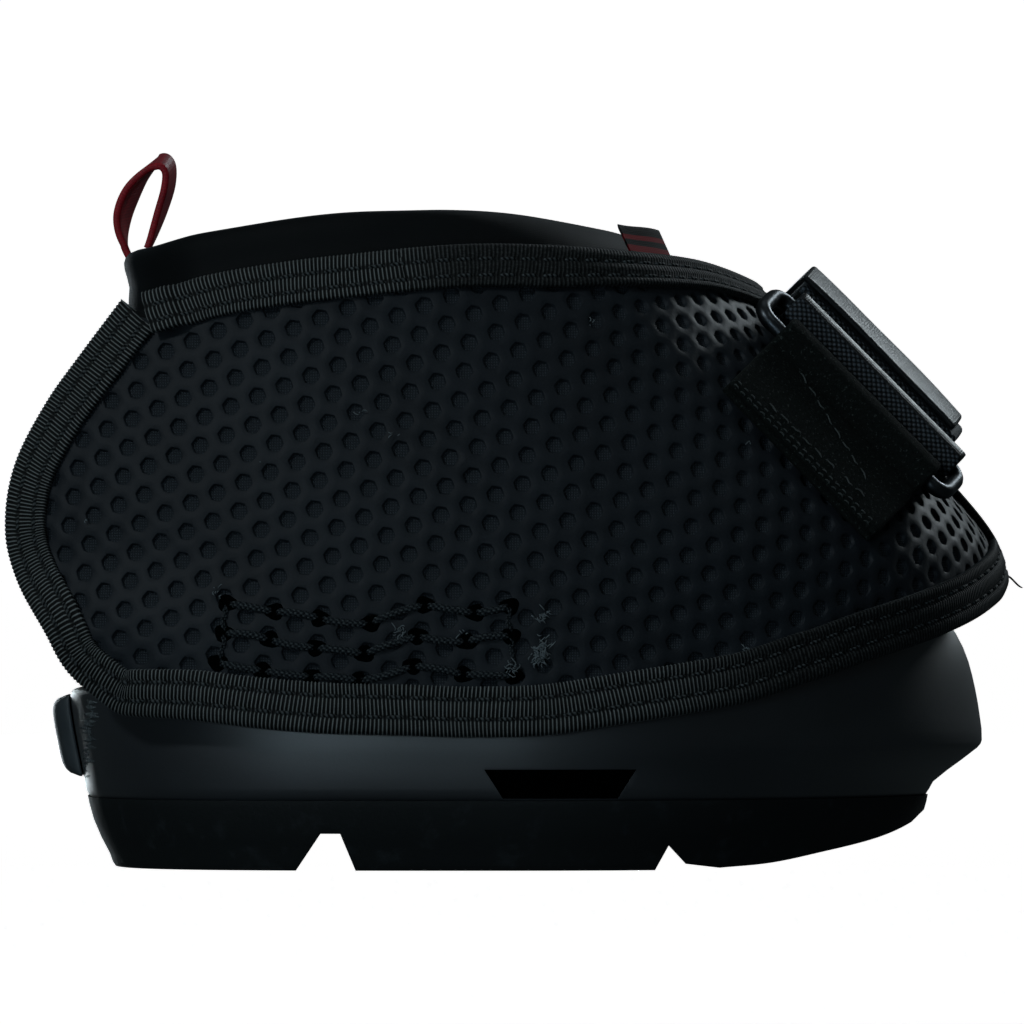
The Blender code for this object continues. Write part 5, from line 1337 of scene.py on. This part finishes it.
def ribbonPiece(name, path, thickness, width, look, lowPath=None, columns=22, ripple=0.0, crown=0.0, shift=0.0,
                smooth=0):  # from ring number smooth on, the look of the cover applies
    lowPath = path if lowPath is None else lowPath
    normals = [leftOf(unit(np.gradient(line, axis=0))) for line in (path, lowPath)]
    downs = np.linspace(-1, 1, columns) * (width - thickness) / 2
    turns = np.radians((60, 30, 0, -30, -60))
    bends = [(downs[-1] + thickness / 2 * math.cos(turn), math.sin(turn)) for turn in turns]
    profile = [(down, 1.0) for down in downs] + bends
    profile += [(-down, -level) for down, level in profile]
    lengths = pathLengths(path)
    toEnd = np.minimum(lengths, lengths[-1] - lengths)
    swell = np.sqrt(np.clip(1 - (1 - toEnd / (thickness / 2)).clip(0) ** 2, 0.08, 1))
    rings, cloth = [], []
    for i in range(len(path)):
        ring, own = [], []
        for down, level in profile:
            share = down / width + 0.5
            middle = lerp(path[i], lowPath[i], share)
            normal = lerp(normals[0][i], normals[1][i], share)
            wave = ripple * math.sin(lengths[i] / (5.1 * mm) + 2.2 * share) * math.sin(down / (6.3 * mm) + 0.7)
            wave -= crown * (1 - abs(2 * down / width) ** 2.6)
            ring.append(strapPlace(middle + normal * (level * swell[i] * thickness / 2 + wave), np.array(down + shift)))
            own.append((lengths[i] / mm, down / mm + (0 if level > 0 else width / mm), 0))
        rings.append(ring)
        cloth.append(own)
    if not smooth:
        return ringPiece(name, rings, cloth, [skins[look]])
    changed = (np.arange((len(path) - 1) * len(profile) + 2) >= smooth * len(profile)) * 1
    return ringPiece(name, rings, cloth, [skins[look], skins["cover"]], faceMaterials=changed)


layer = {}
layer["strip"] = strap["lift"] + strap["thickness"] + strap["layerGap"]
layer["hook"] = layer["strip"] + strap["strip"] + strap["layerGap"]
layer["tail"] = layer["hook"] + strap["strip"] + strap["layerGap"]
layer["cover"] = layer["tail"] + strap["thickness"] + strap["layerGap"]
baseMiddle = strap["lift"] + strap["thickness"] / 2
tailMiddle = layer["tail"] + strap["thickness"] / 2
frontBarHeight = (baseMiddle + tailMiddle) / 2
eyeRadius = strap["wire"] / 2 + strap["wireClearance"]
foldRadius = eyeRadius + strap["thickness"] / 2
tab = {"thickness": 1.5 * mm, "length": 16.7 * mm, "width": 34.0 * mm, "shift": 0.7 * mm}
rearReach = strap["barReach"] + strap["barSpacing"]
tabRadius = eyeRadius + tab["thickness"] / 2
tabLow = 0.8 * mm + tab["thickness"] / 2
rearBarHeight = tabLow + tabRadius


strapLayers = (  # piece, node, body, look, slot, height, thickness, insets of end and width, gap, crown, rise
    ("strapLoopStrip", "strap_loop_strip", "strap", "pile", "pile", layer["strip"], strap["strip"],
     strap["patchMargin"], strap["patchMargin"], strap["layerGap"], 0.1 * mm, 0.0),
    ("strapTail", "strap_tail", "tail", "webbing", "webbing", layer["tail"], strap["thickness"],
     strap["patchMargin"], 1.8 * mm, 0.0, 0.2 * mm, -0.4 * mm),
    ("tailHookPad", "tail_hook_pad", "tail", "pile", "pile", layer["hook"], strap["strip"],
     2 * strap["patchMargin"], strap["patchMargin"], 0.0, 0.1 * mm, 0.0),
    ("strapCover", "strap_cover", "tail", "cover", "strap_skin", layer["cover"], strap["cover"],
     strap["patchMargin"], 2.6 * mm, 0.0, 0.3 * mm, -1.3 * mm))


def makeStrap():
    gap = strap["layerGap"]
    flatRun = overBand(np.linspace(strap["leftReach"], gap - strap["tailStart"], 90), baseMiddle)
    turns = np.radians(-90 - 180 * np.linspace(0, 1, 29))
    turn = np.array([overBand(-strap["barReach"] + foldRadius * math.cos(t), frontBarHeight + foldRadius * math.sin(t))
                     for t in turns])
    last = overBand(np.array([-strap["tailStart"] - gap]), tailMiddle)
    base = ribbonPiece("strapBase", np.concatenate((flatRun, turn, last)), strap["thickness"], strap["width"],
                       "webbing", smooth=len(flatRun) + 23, shift=0.6 * mm)
    declare(base, "webbing", ("strap_base",), "strap")
    ends = np.array((0.0, 0.08, 0.25)) * mm  # close places for the rounded ends
    for name, node, body, look, slot, low, thickness, endInset, widthInset, startGap, crown, rise in strapLayers:
        ys = np.linspace(strap["leftReach"] - endInset - 0.5 * mm, startGap - strap["tailStart"] + 0.5 * mm, 90)
        ys = np.concatenate((ys[0] + 0.5 * mm - ends, ys, ys[-1] - 0.5 * mm + ends[::-1]))
        piece = ribbonPiece(name, overBand(ys, low + thickness / 2), thickness, strap["width"] - widthInset, look,
                            ripple=strap["ripple"] if look == "cover" else 0.0, crown=crown,
                            shift=-widthInset / 2 + rise if body == "tail" else 0.0)
        declare(piece, slot, (node,), body)


def makeStrapPad():
    ys = np.linspace(strap["leftReach"], strap["leftReach"] - strap["width"] / 2 + strap["patchMargin"], 24)
    half = strap["width"] / 2
    high, low = (overBand(ys, strap["padRise"], down) for down in (-half, half))
    pad = ribbonPiece("leftStrapPad", high, strap["padThickness"], strap["width"], "pile", low)
    declare(pad, "pile", ("left_strap_patch",), "left_flap")


tabStitches = (  # lines of (share down the tab, millimetres from its rear edge)
    ((0.02, 0.25), (0.98, 0.25)), ((0.02, 1.0), (0.98, 1.0)), ((0.20, 2.2), (0.67, 2.5)), ((0.70, 2.6), (0.90, 3.0)),
    ((0.13, 13.4), (0.24, 11.8), (0.35, 10.4), (0.55, 7.8), (0.80, 5.4)), ((0.32, 12.6), (0.53, 13.2), (0.74, 13.8)))


def makeRingTab():
    paths = []
    rear, near = rearReach + tab["length"], rearReach + tabRadius + tab["thickness"]
    turns = np.radians(-90 + 240 * np.linspace(0, 1, 33))
    leaf = np.linspace(rear, near, 26)
    reaches = np.concatenate((leaf, rearReach - tabRadius * np.cos(turns), leaf[::-1]))
    topLeaf = tabLow + strap["layerGap"] + tab["thickness"]
    heights = np.concatenate((leaf * 0 + tabLow, rearBarHeight + tabRadius * np.sin(turns), leaf * 0 + topLeaf))
    for down in (-tab["width"] / 2, tab["width"] / 2):
        common, own = overBand(-reaches, heights), overBand(-reaches, heights, down)
        paths.append(lerp(common, own, ease((reaches - rearReach - eyeRadius) / foldRadius)[:, None]))
    piece = ribbonPiece("ringTab", paths[0], tab["thickness"], tab["width"], "pile", paths[1], columns=40,
                        shift=tab["shift"])
    declare(piece, "pile", ("ring_tab",), "right_flap")
    runs = []
    half, height = tab["width"] / 2, topLeaf + tab["thickness"] / 2 + 0.05 * mm
    for line in tabStitches:
        corners = np.array(line)
        count = int((corners[-1, 0] - corners[0, 0]) * tab["width"] / (0.25 * mm))
        share = np.linspace(corners[0, 0], corners[-1, 0], count)
        wander, length = (0.05, 5) if corners[0, 1] < 1.5 else (0.16, 9)
        reach = np.interp(share, corners[:, 0], corners[:, 1])
        reach += wander * np.sin(share * 61 + corners[0, 1]) + 0.5 * wander * np.sin(share * 143)
        own = (2 * share - 1) * half + tab["shift"]
        y = -(rear - reach * mm)
        ends = [overBand(y, height, down) for down in (-half, half)]
        path = strapPlace(lerp(*ends, share[:, None]), own)
        for first in range(0, count - length, length + 1):
            run = path[first:first + length].copy()
            run[[0, -1]] -= strapOut * 0.2 * mm
            runs.append((run, np.tile(strapOut - strapAcross * 0.4, (len(run), 1))))
    stitches = threadPiece("ringTabStitches", runs, 0.13 * mm, skins["tabThread"])
    declare(stitches, "thread", (), "right_flap")


def makeRing():
    front, rear = (strapPlace(overBand(np.array([-reach]), height)[0], np.array(0.0))
                   for reach, height in ((strap["barReach"], frontBarHeight), (rearReach, rearBarHeight)))
    halfLong = strap["width"] / 2 + mm + strap["wire"] / 2
    halfShort = np.linalg.norm(front - rear) / 2
    shortWay, corner = unit(front - rear), strap["wire"]
    points = []
    for quarter, (longSign, shortSign) in enumerate(((1, 1), (-1, 1), (-1, -1), (1, -1))):
        for turn in np.radians(90 * quarter + np.linspace(0, 90, 13)):
            points.append((front + rear) / 2 + strapDown * (longSign * (halfLong - corner) + corner * math.cos(turn))
                          + shortWay * (shortSign * (halfShort - corner) + corner * math.sin(turn)))
        if quarter % 2 == 0:  # long bars need points of their own
            ahead = points[-1] - strapDown * longSign * 2 * (halfLong - corner) * np.linspace(0.04, 0.96, 24)[:, None]
            points += list(ahead)
    ring = tubePiece("wireRing", points, strap["wire"] / 2, skins["wire"])
    declare(ring, "wire", ("ring",), "ring")


makeStrap()
makeStrapPad()
makeRingTab()
makeRing()
print("strap and ring made")


# Sole: the moulded cup, the tread under it and the heel bumper

cup = {
    "frontX": 0.0736, "rearX": -0.0760, "centreX": -0.0050, "width": 2 * upper["cupHalfWidth"],
    "wall": 5.5 * mm, "floor": 3.0 * mm, "lip": 1.2 * mm, "soleHeight": 11.4 * mm, "draft": 4.5 * mm, "nest": 3.0 * mm,
    "toePower": 2.0, "heelPower": 3.6,
    "notchDepth": 6.0 * mm, "channelWidth": 7.0 * mm, "channelDepth": 4.5 * mm, "channelSpacing": 44 * mm,
    "window": {"length": 24.5 * mm, "height": 4.7 * mm, "slant": 3.0 * mm, "depth": 3.2 * mm, "centreX": 0.0042},
    "outline": 288, "seamX": 0.0290, "seamZ": 0.0135, "seamDepth": 0.16 * mm,
    "bevel": 0.35 * mm, "under": -0.010, "aside": 0.08}  # how far cutters reach
cup["rimZ"] = float(bottomZ(tipX)) - upper["proud"] - 3.0 * mm
cup["height"] = cup["rimZ"] - cup["soleHeight"]
wallShares = {
    "toe": ((0.000, 0.887), (0.068, 0.898), (0.254, 0.990), (0.296, 1.000), (0.424, 0.996), (0.592, 0.985),
            (0.759, 0.968), (0.894, 0.943), (1.000, 0.912)),
    "heel": ((0.000, 0.959), (0.084, 0.966), (0.559, 1.000), (1.000, 1.000)),
    "side": ((0.000, 0.979), (0.100, 0.990), (0.300, 1.000), (1.000, 1.000))}
soleSideShares = ((0.000, 1.000), (0.060, 0.90), (0.175, 0.800), (0.400, 0.500), (0.660, 0.220), (0.900, 0.05),
                  (1.000, 0.000))
notchShares = ((0.251, 0.0), (0.280, 1.0), (0.303, 1.0), (0.321, 0.0))
toeLineShares = ((0.672, 0.000), (0.688, 0.351), (0.708, 0.088), (0.748, 0.026), (0.809, 0.088), (0.869, 0.228),
                 (0.936, 0.412), (0.977, 0.605), (0.991, 0.746), (1.010, 0.895))


def cupReach(angle, z):
    share = (z - cup["soleHeight"]) / cup["height"]
    cosine, sine = np.cos(angle), np.sin(angle)
    toe = (cup["frontX"] - cup["centreX"]) * along(wallShares["toe"], share)
    heel = (cup["centreX"] - cup["rearX"]) * along(wallShares["heel"], share)
    ahead = cosine >= 0
    power = np.where(ahead, cup["toePower"], cup["heelPower"])
    width = cup["width"] / 2 * along(wallShares["side"], share)
    return cup["centreX"] + np.where(ahead, toe, heel) * powered(cosine, power), width * powered(sine, power)


def cupAngles():  # evenly spaced round the blunt heel too
    turn = 2 * math.pi * np.arange(cup["outline"]) / cup["outline"]
    power = cup["heelPower"] / 2
    blunt = np.arctan2(np.sign(np.sin(turn)) * np.abs(np.sin(turn)) ** power, -np.abs(np.cos(turn)) ** power)
    return np.where(np.cos(turn) >= 0, turn, blunt)


def cupRing(z, inset):
    angles = cupAngles()
    z = z(angles) if callable(z) else np.full_like(angles, z)
    x, y = cupReach(angles, z)
    aheadX, aheadY = cupReach(angles + 0.002, z)
    behindX, behindY = cupReach(angles - 0.002, z)
    wallWay = unit(joined(aheadX - behindX, aheadY - behindY))
    return joined(x - inset * wallWay[:, 1], y + inset * wallWay[:, 0], z)


def rimZ(angles):
    forward = ease(np.cos(angles))
    backward = ease(-1.2 * np.cos(angles) - 0.2)
    side = upper["bottomZ"] + gusset["sideRise"]
    return side + forward * (cup["rimZ"] - side) - backward * 5.2 * mm


def prism(outline, low, high):  # a side-view outline drawn out across the boot
    return cutter([[(x, y, z) for x, z in outline] for y in (low, high)])


def cutter(rings, look=0):
    shape, rows = bridged(rings)
    shape.faces.new(rows[-1][::-1])
    bmesh.ops.recalc_face_normals(shape, faces=shape.faces)
    for face in shape.faces:
        face.material_index = look
    made = objectOf(shape, "cutter")
    for _ in range(look + 1):
        made.data.materials.append(None)
    return made


def carve(piece, cutters):  # cut shapes out and round the new edges a little
    for shape in cutters:
        modifier = piece.modifiers.new("cut", "BOOLEAN")
        modifier.operation, modifier.solver, modifier.object = "DIFFERENCE", "EXACT", shape
    rounding = piece.modifiers.new("round", "BEVEL")
    rounding.width, rounding.segments, rounding.limit_method = cup["bevel"], 3, "ANGLE"
    rounding.angle_limit, rounding.use_clamp_overlap = math.radians(38), True
    bpy.context.view_layer.update()
    result = bpy.data.meshes.new_from_object(piece.evaluated_get(bpy.context.evaluated_depsgraph_get()))
    piece.modifiers.clear()
    piece.data = result
    for shape in cutters:
        bpy.data.objects.remove(shape, do_unlink=True)
    points = np.array([vertex.co for vertex in result.vertices])
    cloth = result.attributes.get("cloth") or result.attributes.new("cloth", "FLOAT_VECTOR", "POINT")
    cloth.data.foreach_set("vector", (points / mm).astype(np.float32).ravel())
    result.shade_smooth()
    result.set_sharp_from_angle(angle=math.radians(40))


def wallSide(x, z):  # how far the cup's side wall stands out at x
    x, z = np.broadcast_arrays(np.asarray(x, float), np.asarray(z, float))
    ahead = x >= cup["centreX"]
    ends = np.where(ahead, cupReach(0 * z, z)[0], cupReach(math.pi + 0 * z, z)[0])
    power = np.where(ahead, cup["toePower"], cup["heelPower"])
    share = (x - cup["centreX"]) / (ends - cup["centreX"])
    return cupReach(math.pi / 2 + 0 * z, z)[1] * np.clip(1 - np.abs(share) ** power, 0, 1) ** (1 / power)


def windowCutter(side):
    window, rings = cup["window"], []
    low = cup["soleHeight"] + upper["layerGap"]
    for share in np.linspace(-1, 1, 13):
        ring = []
        for z, slant in ((low, window["slant"]), (low + window["height"], 0.0)):
            x = window["centreX"] + share * (window["length"] / 2 - slant)
            ends = (float(wallSide(x, z)) - window["depth"], cup["aside"])
            ring += [(x, side * y, z) for y in (ends if slant else ends[::-1])]
        rings.append(ring)
    # the cutter's faces take the second material, so the window recess gets the near-black hole colour as painted shade
    return cutter(rings, 1)


def makeCup():
    lip, wall = cup["lip"], cup["wall"]
    shares = np.array((0.0, 0.03, 0.068, 0.13, 0.19, 0.254, 0.275, 0.296, 0.36, 0.424))
    levels = cup["soleHeight"] + cup["height"] * shares
    top = levels[-1]

    def blend(share, drop):
        return lambda angles: lerp(top, rimZ(angles) - drop, share)

    rings = [cupRing(cup["soleHeight"] - cup["floor"], cup["nest"]), cupRing(cup["soleHeight"], cup["nest"])]
    rings += [cupRing(z, cup["bevel"] if i == 0 else 0.0) for i, z in enumerate(levels)]
    rings += [cupRing(blend(share, lip), 0.0) for share in np.linspace(0.14, 1, 7)]
    for turn in np.radians((30, 60, 90)):
        rings.append(cupRing(blend(1.0, lip * (1 - math.sin(turn))), lip * (1 - math.cos(turn))))
    for turn in np.radians((90, 60, 30)):
        rings.append(cupRing(blend(1.0, lip * (1 - math.sin(turn))), wall - lip * (1 - math.cos(turn))))
    rings += [cupRing(blend(share, lip), wall) for share in (1.0, 0.5)]
    rings += [cupRing(z, wall) for z in levels[::-3]]
    rings = np.array(rings)
    outside = rings[2:22]
    nearSeam = np.exp(-((outside[..., 0] - cup["seamX"]) / (0.35 * mm)) ** 2) * (outside[..., 2] > cup["seamZ"])
    outside[..., 1] -= np.sign(outside[..., 1]) * nearSeam * cup["seamDepth"]  # the faint mould seam
    # the shell's second material paints shade into the window recess
    shell = ringPiece("soleCup", rings, rings / mm, [skins["shell"], skins["holeShade"]])
    carve(shell, [windowCutter(side) for side in (rightSide, leftSide)])
    declare(shell, "shell_plastic", ("sole_shell",), "root")


def soleX(share):
    ends = [float(cupReach(np.array(angle), np.array(cup["soleHeight"]))[0]) for angle in (math.pi, 0.0)]
    return lerp(*ends, share)


def makeTread():
    height, gap, rings = cup["soleHeight"], 0.06 * mm, []
    for heightShare, insetShare in soleSideShares:
        ring = cupRing(height, cup["draft"] * insetShare)
        ring[:, 2] = (height - gap) * heightShare
        rings.append(ring)
    for level in (height - gap, height - cup["floor"] - gap):
        ring = cupRing(height, cup["nest"] - gap)
        ring[:, 2] = level
        rings.append(ring)
    tread = ringPiece("tread", rings, np.array(rings) / mm, [skins["tread"]])
    notch = [(soleX(x), cup["notchDepth"] * depth) for x, depth in notchShares]
    notch = [(notch[0][0], cup["under"])] + notch + [(notch[-1][0], cup["under"])]
    table = np.array(toeLineShares)
    fine = np.concatenate((table[:3, 0], np.linspace(table[3, 0], table[-1, 0], 26)))
    rises = np.concatenate((table[:3, 1], along(table[3:], fine[3:])))
    toe = [(soleX(x), height * float(rise)) for x, rise in zip(fine, rises)]
    toe = [(toe[0][0], cup["under"])] + toe + [(toe[-1][0], cup["under"])]
    rear, front = soleX(notchShares[0][0]), soleX(toeLineShares[0][0]) + cup["channelWidth"] / 2
    box = [(x, cup["under"]) for x in (rear, front)] + [(x, cup["channelDepth"]) for x in (front, rear)]
    cuts = [prism(outline, -cup["aside"], cup["aside"]) for outline in (notch, toe)]
    for side in (-1, 1):
        middle, half = side * cup["channelSpacing"] / 2, cup["channelWidth"] / 2
        cuts.append(prism(box, middle - half, middle + half))
    carve(tread, cuts)
    declare(tread, "sole_rubber", ("outsole",), "root")


bumper = {"width": 42 * mm, "height": 13 * mm, "thickness": 3.0 * mm, "rise": 3.2 * mm}


def makeBumper():
    across = np.linspace(-1, 1, 60)[:, None]
    up = np.linspace(-1, 1, 28)[None]
    z = cup["soleHeight"] + bumper["rise"] + bumper["height"] * (up + 1) / 2
    y = across * bumper["width"] / 2
    wallX = cupReach(np.array(math.pi), z)[0]
    width = cupReach(np.array(math.pi / 2), z)[1]
    drop = (1 - np.abs(y / width) ** cup["heelPower"]) ** (1 / cup["heelPower"])
    x = cup["centreX"] - (cup["centreX"] - wallX) * drop - upper["layerGap"]
    crown = np.sqrt(np.clip((1 - 0.96 * across ** 6) * (1 - 0.96 * up ** 6), 0, 1))
    x, y, z, crown = np.broadcast_arrays(x, y, z, crown)
    outer = joined(x - bumper["thickness"] * crown, y, z)
    inner = joined(x, y, z)
    pad = sheetPiece("heelBumper", outer, inner, outer / mm, [skins["bumper"]])
    declare(pad, "sole_rubber", ("heel_bumper",), "root")


flash = {"lowZ": 14.4, "highZ": 27.4, "rows": 90, "x": -72.7, "lean": 0.10,  # millimetres
         "section": ((-1, -0.4), (-0.6, 0.7), (0.1, 1.0), (0.7, 0.5), (1, -0.4), (0, -0.6))}


def makeFlash(side):  # a torn strip of moulding flash at the cup's rear corner
    z = np.linspace(flash["lowZ"], flash["highZ"], flash["rows"]) * mm
    random = np.random.default_rng(5)
    ragged = smoothed(random.normal(0, 1, (flash["rows"], 3)), 2)
    x = (flash["x"] + 0.5 * ragged[:, 0] + flash["lean"] * (z / mm - 20)) * mm
    width = (0.75 + 0.55 * ragged[:, 1]).clip(0.15) * mm
    height = (0.45 + 0.5 * ragged[:, 2]).clip(0.12) * mm
    rings = []
    for share, level in flash["section"]:
        place = x + share * width
        rings.append(joined(place, side * (wallSide(place, z) + level * height), z))
    rings = np.stack(rings, axis=1)
    strip = ringPiece(sideNames[side] + "Flash", rings, rings / mm, [skins["torn"]])
    declare(strip, "shell_plastic", (), "root")


makeCup()
makeTread()
makeBumper()
for side in (rightSide, leftSide):
    makeFlash(side)
print("sole made")


# Pull loop: a red ribbon on the back of the collar, a little twisted

pullLoop = {"width": 12 * mm, "thickness": 1.1 * mm, "height": 13.9 * mm, "bulge": 7.5 * mm, "setback": 0.70,
            "footZ": 0.10076, "lift": 0.8 * mm, "skew": 1.3 * mm, "tilt": 0.9 * mm}
loopShares = ((-0.66, -0.18), (-0.80, -0.02), (-0.86, 0.18), (-0.80, 0.42), (-0.56, 0.72), (-0.22, 0.93), (0.02, 0.99),
              (0.17, 0.90), (0.15, 0.68), (0.00, 0.40), (-0.18, 0.12), (-0.30, -0.04))


def makePullLoop():
    places = np.linspace(0, len(loopShares) - 1, 120)
    table = np.array(loopShares)
    path = joined(*(along(joined(np.arange(len(table)), column), places) for column in table.T))
    path *= (pullLoop["bulge"], pullLoop["height"])
    normal = leftOf(unit(np.gradient(path, axis=0)))
    lengths = pathLengths(path)
    foot = (upper["collarRearX"] + pullLoop["bulge"] * pullLoop["setback"], pullLoop["footZ"] + pullLoop["lift"])
    columns = np.linspace(-1, 1, 16)
    profile = [(c, 1.0) for c in columns] + [(1.03, 0.3), (1.03, -0.3)] + [(c, -1.0) for c in columns[::-1]]
    profile += [(-1.03, -0.3), (-1.03, 0.3)]
    rings, cloth = [], []
    for i in range(len(path)):
        rise = min(1, max(0, path[i, 1] / pullLoop["height"]))
        ring = []
        for across, level in profile:
            sway = pullLoop["skew"] * across * math.sin(math.pi * rise * 0.8) * (1 if i < 60 else 0.5)
            x, z = path[i] + normal[i] * level * pullLoop["thickness"] / 2 + (0, pullLoop["tilt"] * across * rise)
            ring.append((foot[0] + x + sway, across * pullLoop["width"] / 2, foot[1] + z))
        rings.append(ring)
        cloth.append([(lengths[i] / mm, across * 6, 0) for across, level in profile])
    loop = ringPiece("pullLoop", rings, cloth, [skins["ribbon"]])
    declare(loop, "red_ribbon", ("pull_loop",), "pull_loop")


makePullLoop()
print("pull loop made")


# Stage, lights and camera

stage = {"flat": 7.0, "curve": 2.5, "height": 8.0, "sides": 96, "paper": (0.80, 0.80, 0.80), "glow": 1.0,
         "lookAt": (-0.0036, 0.0, 0.0577), "distance": 3.6, "nearSide": 0.04, "tilt": 0.2,
         "width": 0.1664}


def makeStage():  # pale paper: a flat round floor that curves up all round
    profile = [(stage["flat"] + stage["curve"] * math.sin(t), stage["curve"] * (1 - math.cos(t)))
               for t in np.linspace(0, math.pi / 2, 20)] + [(stage["flat"] + stage["curve"], stage["height"])]
    rings = [[(r * math.cos(t), r * math.sin(t), z) for t in turnsRound(stage["sides"])] for r, z in profile]
    floor = objectOf(bridged(rings)[0], "floor")
    floor.data.shade_smooth()
    floor.visible_diffuse = floor.visible_glossy = floor.visible_shadow = False
    paper = bpy.data.materials.new("paper")
    paper.use_nodes = True
    shader = paper.node_tree.nodes["Principled BSDF"]
    shader.inputs["Base Color"].default_value = (*stage["paper"], 1)
    shader.inputs["Emission Color"].default_value = (1, 1, 1, 1)
    shader.inputs["Emission Strength"].default_value = stage["glow"]
    shader.inputs["Roughness"].default_value = 0.9
    floor.data.materials.append(paper)


def addLight(name, place, power, size, colour):
    data = bpy.data.lights.new(name, "AREA")
    data.energy, data.size, data.color = power, size, colour
    light = bpy.data.objects.new(name, data)
    light.location = place
    light.rotation_euler = (Vector(stage["lookAt"]) - Vector(place)).to_track_quat("-Z", "Y").to_euler()
    scene.collection.objects.link(light)


def makeCamera():
    data = bpy.data.cameras.new("camera")
    data.sensor_width = 36
    data.lens = data.sensor_width * (stage["distance"] - stage["nearSide"]) / stage["width"]
    data.clip_end = 50
    camera = bpy.data.objects.new("camera", data)
    tilt = math.radians(stage["tilt"])
    middle = Vector(stage["lookAt"])
    camera.location = middle + stage["distance"] * Vector((0, -math.cos(tilt), math.sin(tilt)))
    camera.rotation_euler = (middle - camera.location).to_track_quat("-Z", "Y").to_euler()
    scene.collection.objects.link(camera)
    scene.camera = camera


makeStage()
world = bpy.data.worlds.new("studio")
world.use_nodes = True
background = world.node_tree.nodes["Background"].inputs
background["Color"].default_value = (0.72, 0.92, 1.0, 1)
background["Strength"].default_value = 0.022
scene.world = world
cool = (0.84, 0.95, 1.0)
lights = (("key", (-1.35, -1.55, 1.38), 10.3, 0.22, cool),
          ("satin", (-0.26, -1.0, 0.03), 0.88, 0.16, (0.66, 0.86, 1.0)),
          ("fill", (1.5, -1.3, 0.6), 0.1, 0.8, cool), ("front", (0.8, -0.8, 1.6), 1.1, 0.4, cool),
          ("top", (0.1, 0.5, 1.8), 0.9, 1.0, cool), ("far", (1.1, 1.6, 1.1), 9.0, 0.4, cool),
          ("farLow", (-0.3, 1.5, 0.05), 3.0, 0.3, cool))
for light in lights:
    addLight(*light)
makeCamera()
scene.view_settings.view_transform = "Standard"
